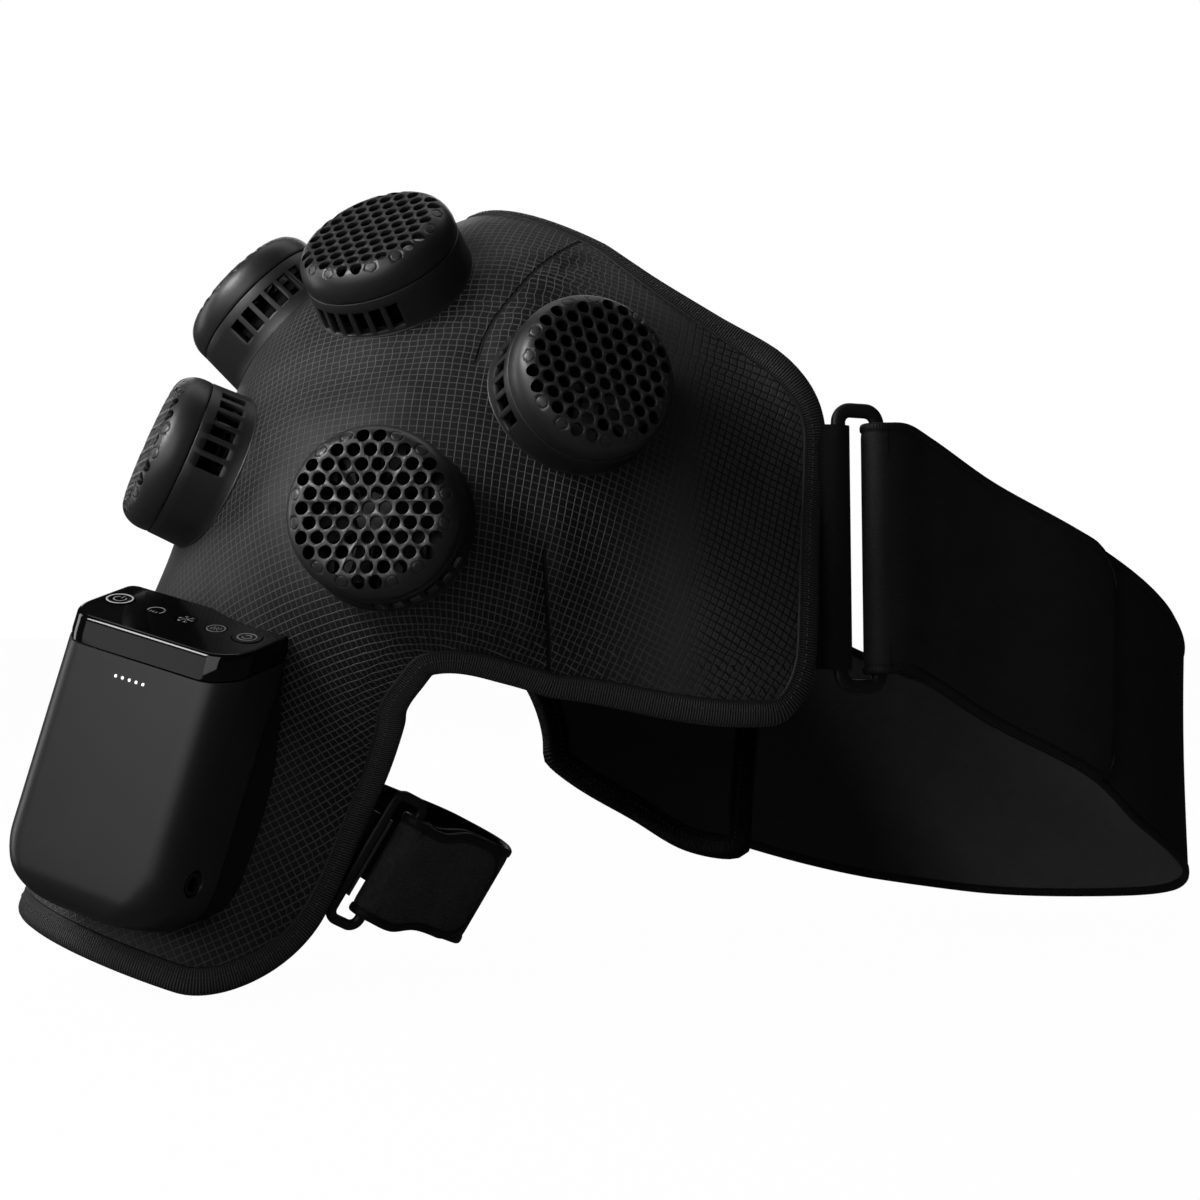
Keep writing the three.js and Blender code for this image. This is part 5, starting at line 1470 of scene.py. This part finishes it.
def strap_section(width):
    """Points across a strap as (across, out, bound): a flat web between two bound edges."""
    half = width / 2
    side = [(half - back, out, bound) for back, out, bound in STRAP_EDGE]
    flat = half - STRAP_EDGE[-1][0]
    web = [(x, 1.0, 0) for x in np.linspace(flat, -flat, 9)[1:-1]]
    face = side[1:] + web + [(-x, o, b) for x, o, b in side[:0:-1]]
    return np.array([side[0]] + face + [(-half, 0, 1)] + [(x, -o, b) for x, o, b in face[::-1]])


def strap_piece(name, frames, width, look, lined=None, end_bound=False):
    """A strap through frames of (point, across, out, width share), with its length."""
    section = strap_section(width)
    points, across, outs, shares = (np.array(column) for column in zip(*frames))
    x = section[:, 0] * shares[:, None]
    rings = points[:, None] + x[..., None] * across[:, None] + section[:, 1:2] * outs[:, None]
    rows, columns = x.shape
    run = np.concatenate([[0], np.cumsum(np.linalg.norm(np.diff(points, axis=0), axis=1))])
    uv = np.stack([np.repeat(run, columns), x.ravel()], -1)
    bound = np.tile(section[:, 2], (rows, 1))
    if end_bound:
        bound[-BOUND_ROWS:] = 1
    web = np.array([k in LINED_COLUMNS for k in range(columns)])
    lined = np.outer(np.zeros(rows) if lined is None else lined, web).ravel()
    centre, count, last = rings.mean(1), rows * columns, (rows - 1) * columns
    faces = grid_faces(rows, columns, closed=True).tolist()
    faces += [(count, (j + 1) % columns, j) for j in range(columns)]
    faces += [(count + 1, last + j, last + (j + 1) % columns) for j in range(columns)]
    marks = {"bound": np.append(bound, [1, 1]), "lined": np.append(lined, [0, 0])}
    points = np.concatenate([rings.reshape(-1, 3), centre[:1], centre[-1:]])
    mesh = mesh_of(name, points, faces, [look], np.concatenate([uv, [[0, 0], [run[-1], 0]]]), marks)
    face_out(mesh, weld=False)
    smooth(mesh, 75)
    return object_of(mesh), run[-1]


def make_strap(name, anchor, look):
    """A strap from its anchor to the ring and round its bar, and the tail that lies back on it."""
    ring, strap = RINGS[name], STRAPS[name]
    seat, width, tail = Seat(*ring["seat"]), strap["width"], strap["tail"]
    make_ring(name, ring, seat)
    if name == "chest":
        make_tab(name, ring, seat)
    course = Course(ring, seat, strap, (anchor[0] + anchor[-1]) / 2)
    room = (ring["width"] - ring["bar"]) * math.sin(SWING)
    fold_width = (ring["bar"] / 2 + 2 * GAP + STRAP_THICKNESS / 2) / FOLD_SAG
    fold_depth = (ring["thick"] / 2 + GAP + room + STRAP_THICKNESS / 2) / FOLD_SAG
    layer_depth = (STRAP_THICKNESS + LAYER_GAP) / 2

    def layer(distance, side):
        point, _, across, out = course.at(distance)
        depth = fold_depth + (layer_depth - fold_depth) * ease(distance / SETTLE)
        return point + side * depth * out, across, out

    frames = []
    end, end_across, _ = layer(course.length, -1)
    pulls = [anchor[k] - (end + side * end_across * width / 2) for k, side in ((0, -1), (-1, 1))]
    distances = np.linspace(course.length, BAND_START, BAND_STEPS)
    for distance in distances:
        point, across, _ = layer(distance, -1)
        pull = ease((distance - (course.length - strap["stretch"])) / strap["stretch"])
        low, high = (point + side * across * width / 2 + pull * move for side, move in zip((-1, 1), pulls))
        frames.append([(low + high) / 2, unit(high - low), np.linalg.norm(high - low) / width])
    start, along, across, out = course.at(0)
    for turn in np.linspace(-math.pi / 2, -1.5 * math.pi, FOLD_STEPS):
        point = start + fold_width * math.cos(turn) * along + fold_depth * math.sin(turn) * out
        frames.append([point, across, 1.0])
    frames.append([*layer(BAND_START, 1)[:2], 1.0])
    ways = unit(np.gradient(np.array([point for point, _, _ in frames]), axis=0))
    frames = [(point, across, unit(np.cross(way, across)), share)
              for (point, across, share), way in zip(frames, ways)]
    lined = np.append(eased((distances - tail) / LINING_FADE), np.zeros(len(frames) - BAND_STEPS))
    band, run = strap_piece(f"{name}_band", frames, width, look, lined)
    settle(band, nodes=[f"{name}_strap"])
    width * MM

    frames, square = [], tail - TAIL_ROUND
    rounding = square + TAIL_ROUND * np.sin(np.linspace(0, math.pi / 2, TAIL_ROUND_STEPS))[1:]
    for distance in np.concatenate([np.linspace(BAND_START, square, 60), rounding]):
        back = max(distance - square, 0) / TAIL_ROUND
        share = 1 - (1 - math.sqrt(max(1 - back * back, 0))) * TAIL_ROUND / (width / 2)
        frames.append([*layer(distance, 1), share])
    piece, run = strap_piece(f"{name}_tail", frames, width, look, end_bound=True)
    settle(piece, f"{name}_strap_tail", nodes=[f"{name}_strap_tail"])
    width * MM


def anchor_row(stations, angles, step_station, step_angle):
    """Points just past the shell's edge, where a strap is sewn on."""
    def in_middle(station, angle):
        point = skin([station], [angle])
        return point[0] - skin_normal(point)[0] * THICKNESS / 2

    row = []
    for station, angle in zip(stations, angles):
        edge = in_middle(station, angle)
        away = unit(in_middle(station + step_station, angle + step_angle) - edge)
        row.append(edge + away * (TAPE_WIDTH - 1.5))
    return row


anchor_angles = np.linspace(-145, -110, 4)
chest_anchor = anchor_row(CORE_LENGTH * through(NECK_EDGE, anchor_angles), anchor_angles, GAP, 0)
anchor_stations = np.linspace(47, 81, 3)
arm_anchor = anchor_row(anchor_stations, through(BACK_EDGE, anchor_stations / CORE_LENGTH), 0, -1)
make_strap("chest", chest_anchor, STRAP)
make_strap("arm", arm_anchor, LOOP)


# ---------------------------------------------------------------- looks of the kept nodes, and the floor
# The spider arms take the fan's dark plastic, partly as painted shade inside the pods.
POD_LOOKS = {"fan": FAN, "spider": FAN, "heat_sink": SINK, "thermal_tile": TILE, "cold_plate": PLATE}
NODE_LOOKS = {
    "pack_dock": DOCK, "power_button": GLOSS, "mode_button": GLOSS, "battery_window": GLOSS,
    "cold_window": GLOSS, "heat_window": GLOSS, "charge_jack": JACK, "circuit_board": CARD,
    "battery_cell_1": CELL, "battery_cell_2": CELL, "battery_cell_3": CELL, "arm_ring_tab": TAPE,
}
NODE_LOOKS.update({f"pod_{pod}_{part}": look for pod in PODS for part, look in POD_LOOKS.items()})
for node_name, node_look in NODE_LOOKS.items():
    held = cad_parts[node_name].data.materials
    held.clear()
    held.append(node_look)

FLOOR_HALF, FLOOR_DROP = 8, 0.002
floor_mesh = bpy.data.meshes.new("floor")
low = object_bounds()[0].z - FLOOR_DROP
floor_corners = [(-FLOOR_HALF, -FLOOR_HALF, low), (FLOOR_HALF, -FLOOR_HALF, low), (FLOOR_HALF, FLOOR_HALF, low),
                 (-FLOOR_HALF, FLOOR_HALF, low)]
floor_mesh.from_pydata(floor_corners, [], [(0, 1, 2, 3)])
floor_mesh.materials.append(studio_floor())
object_of(floor_mesh)
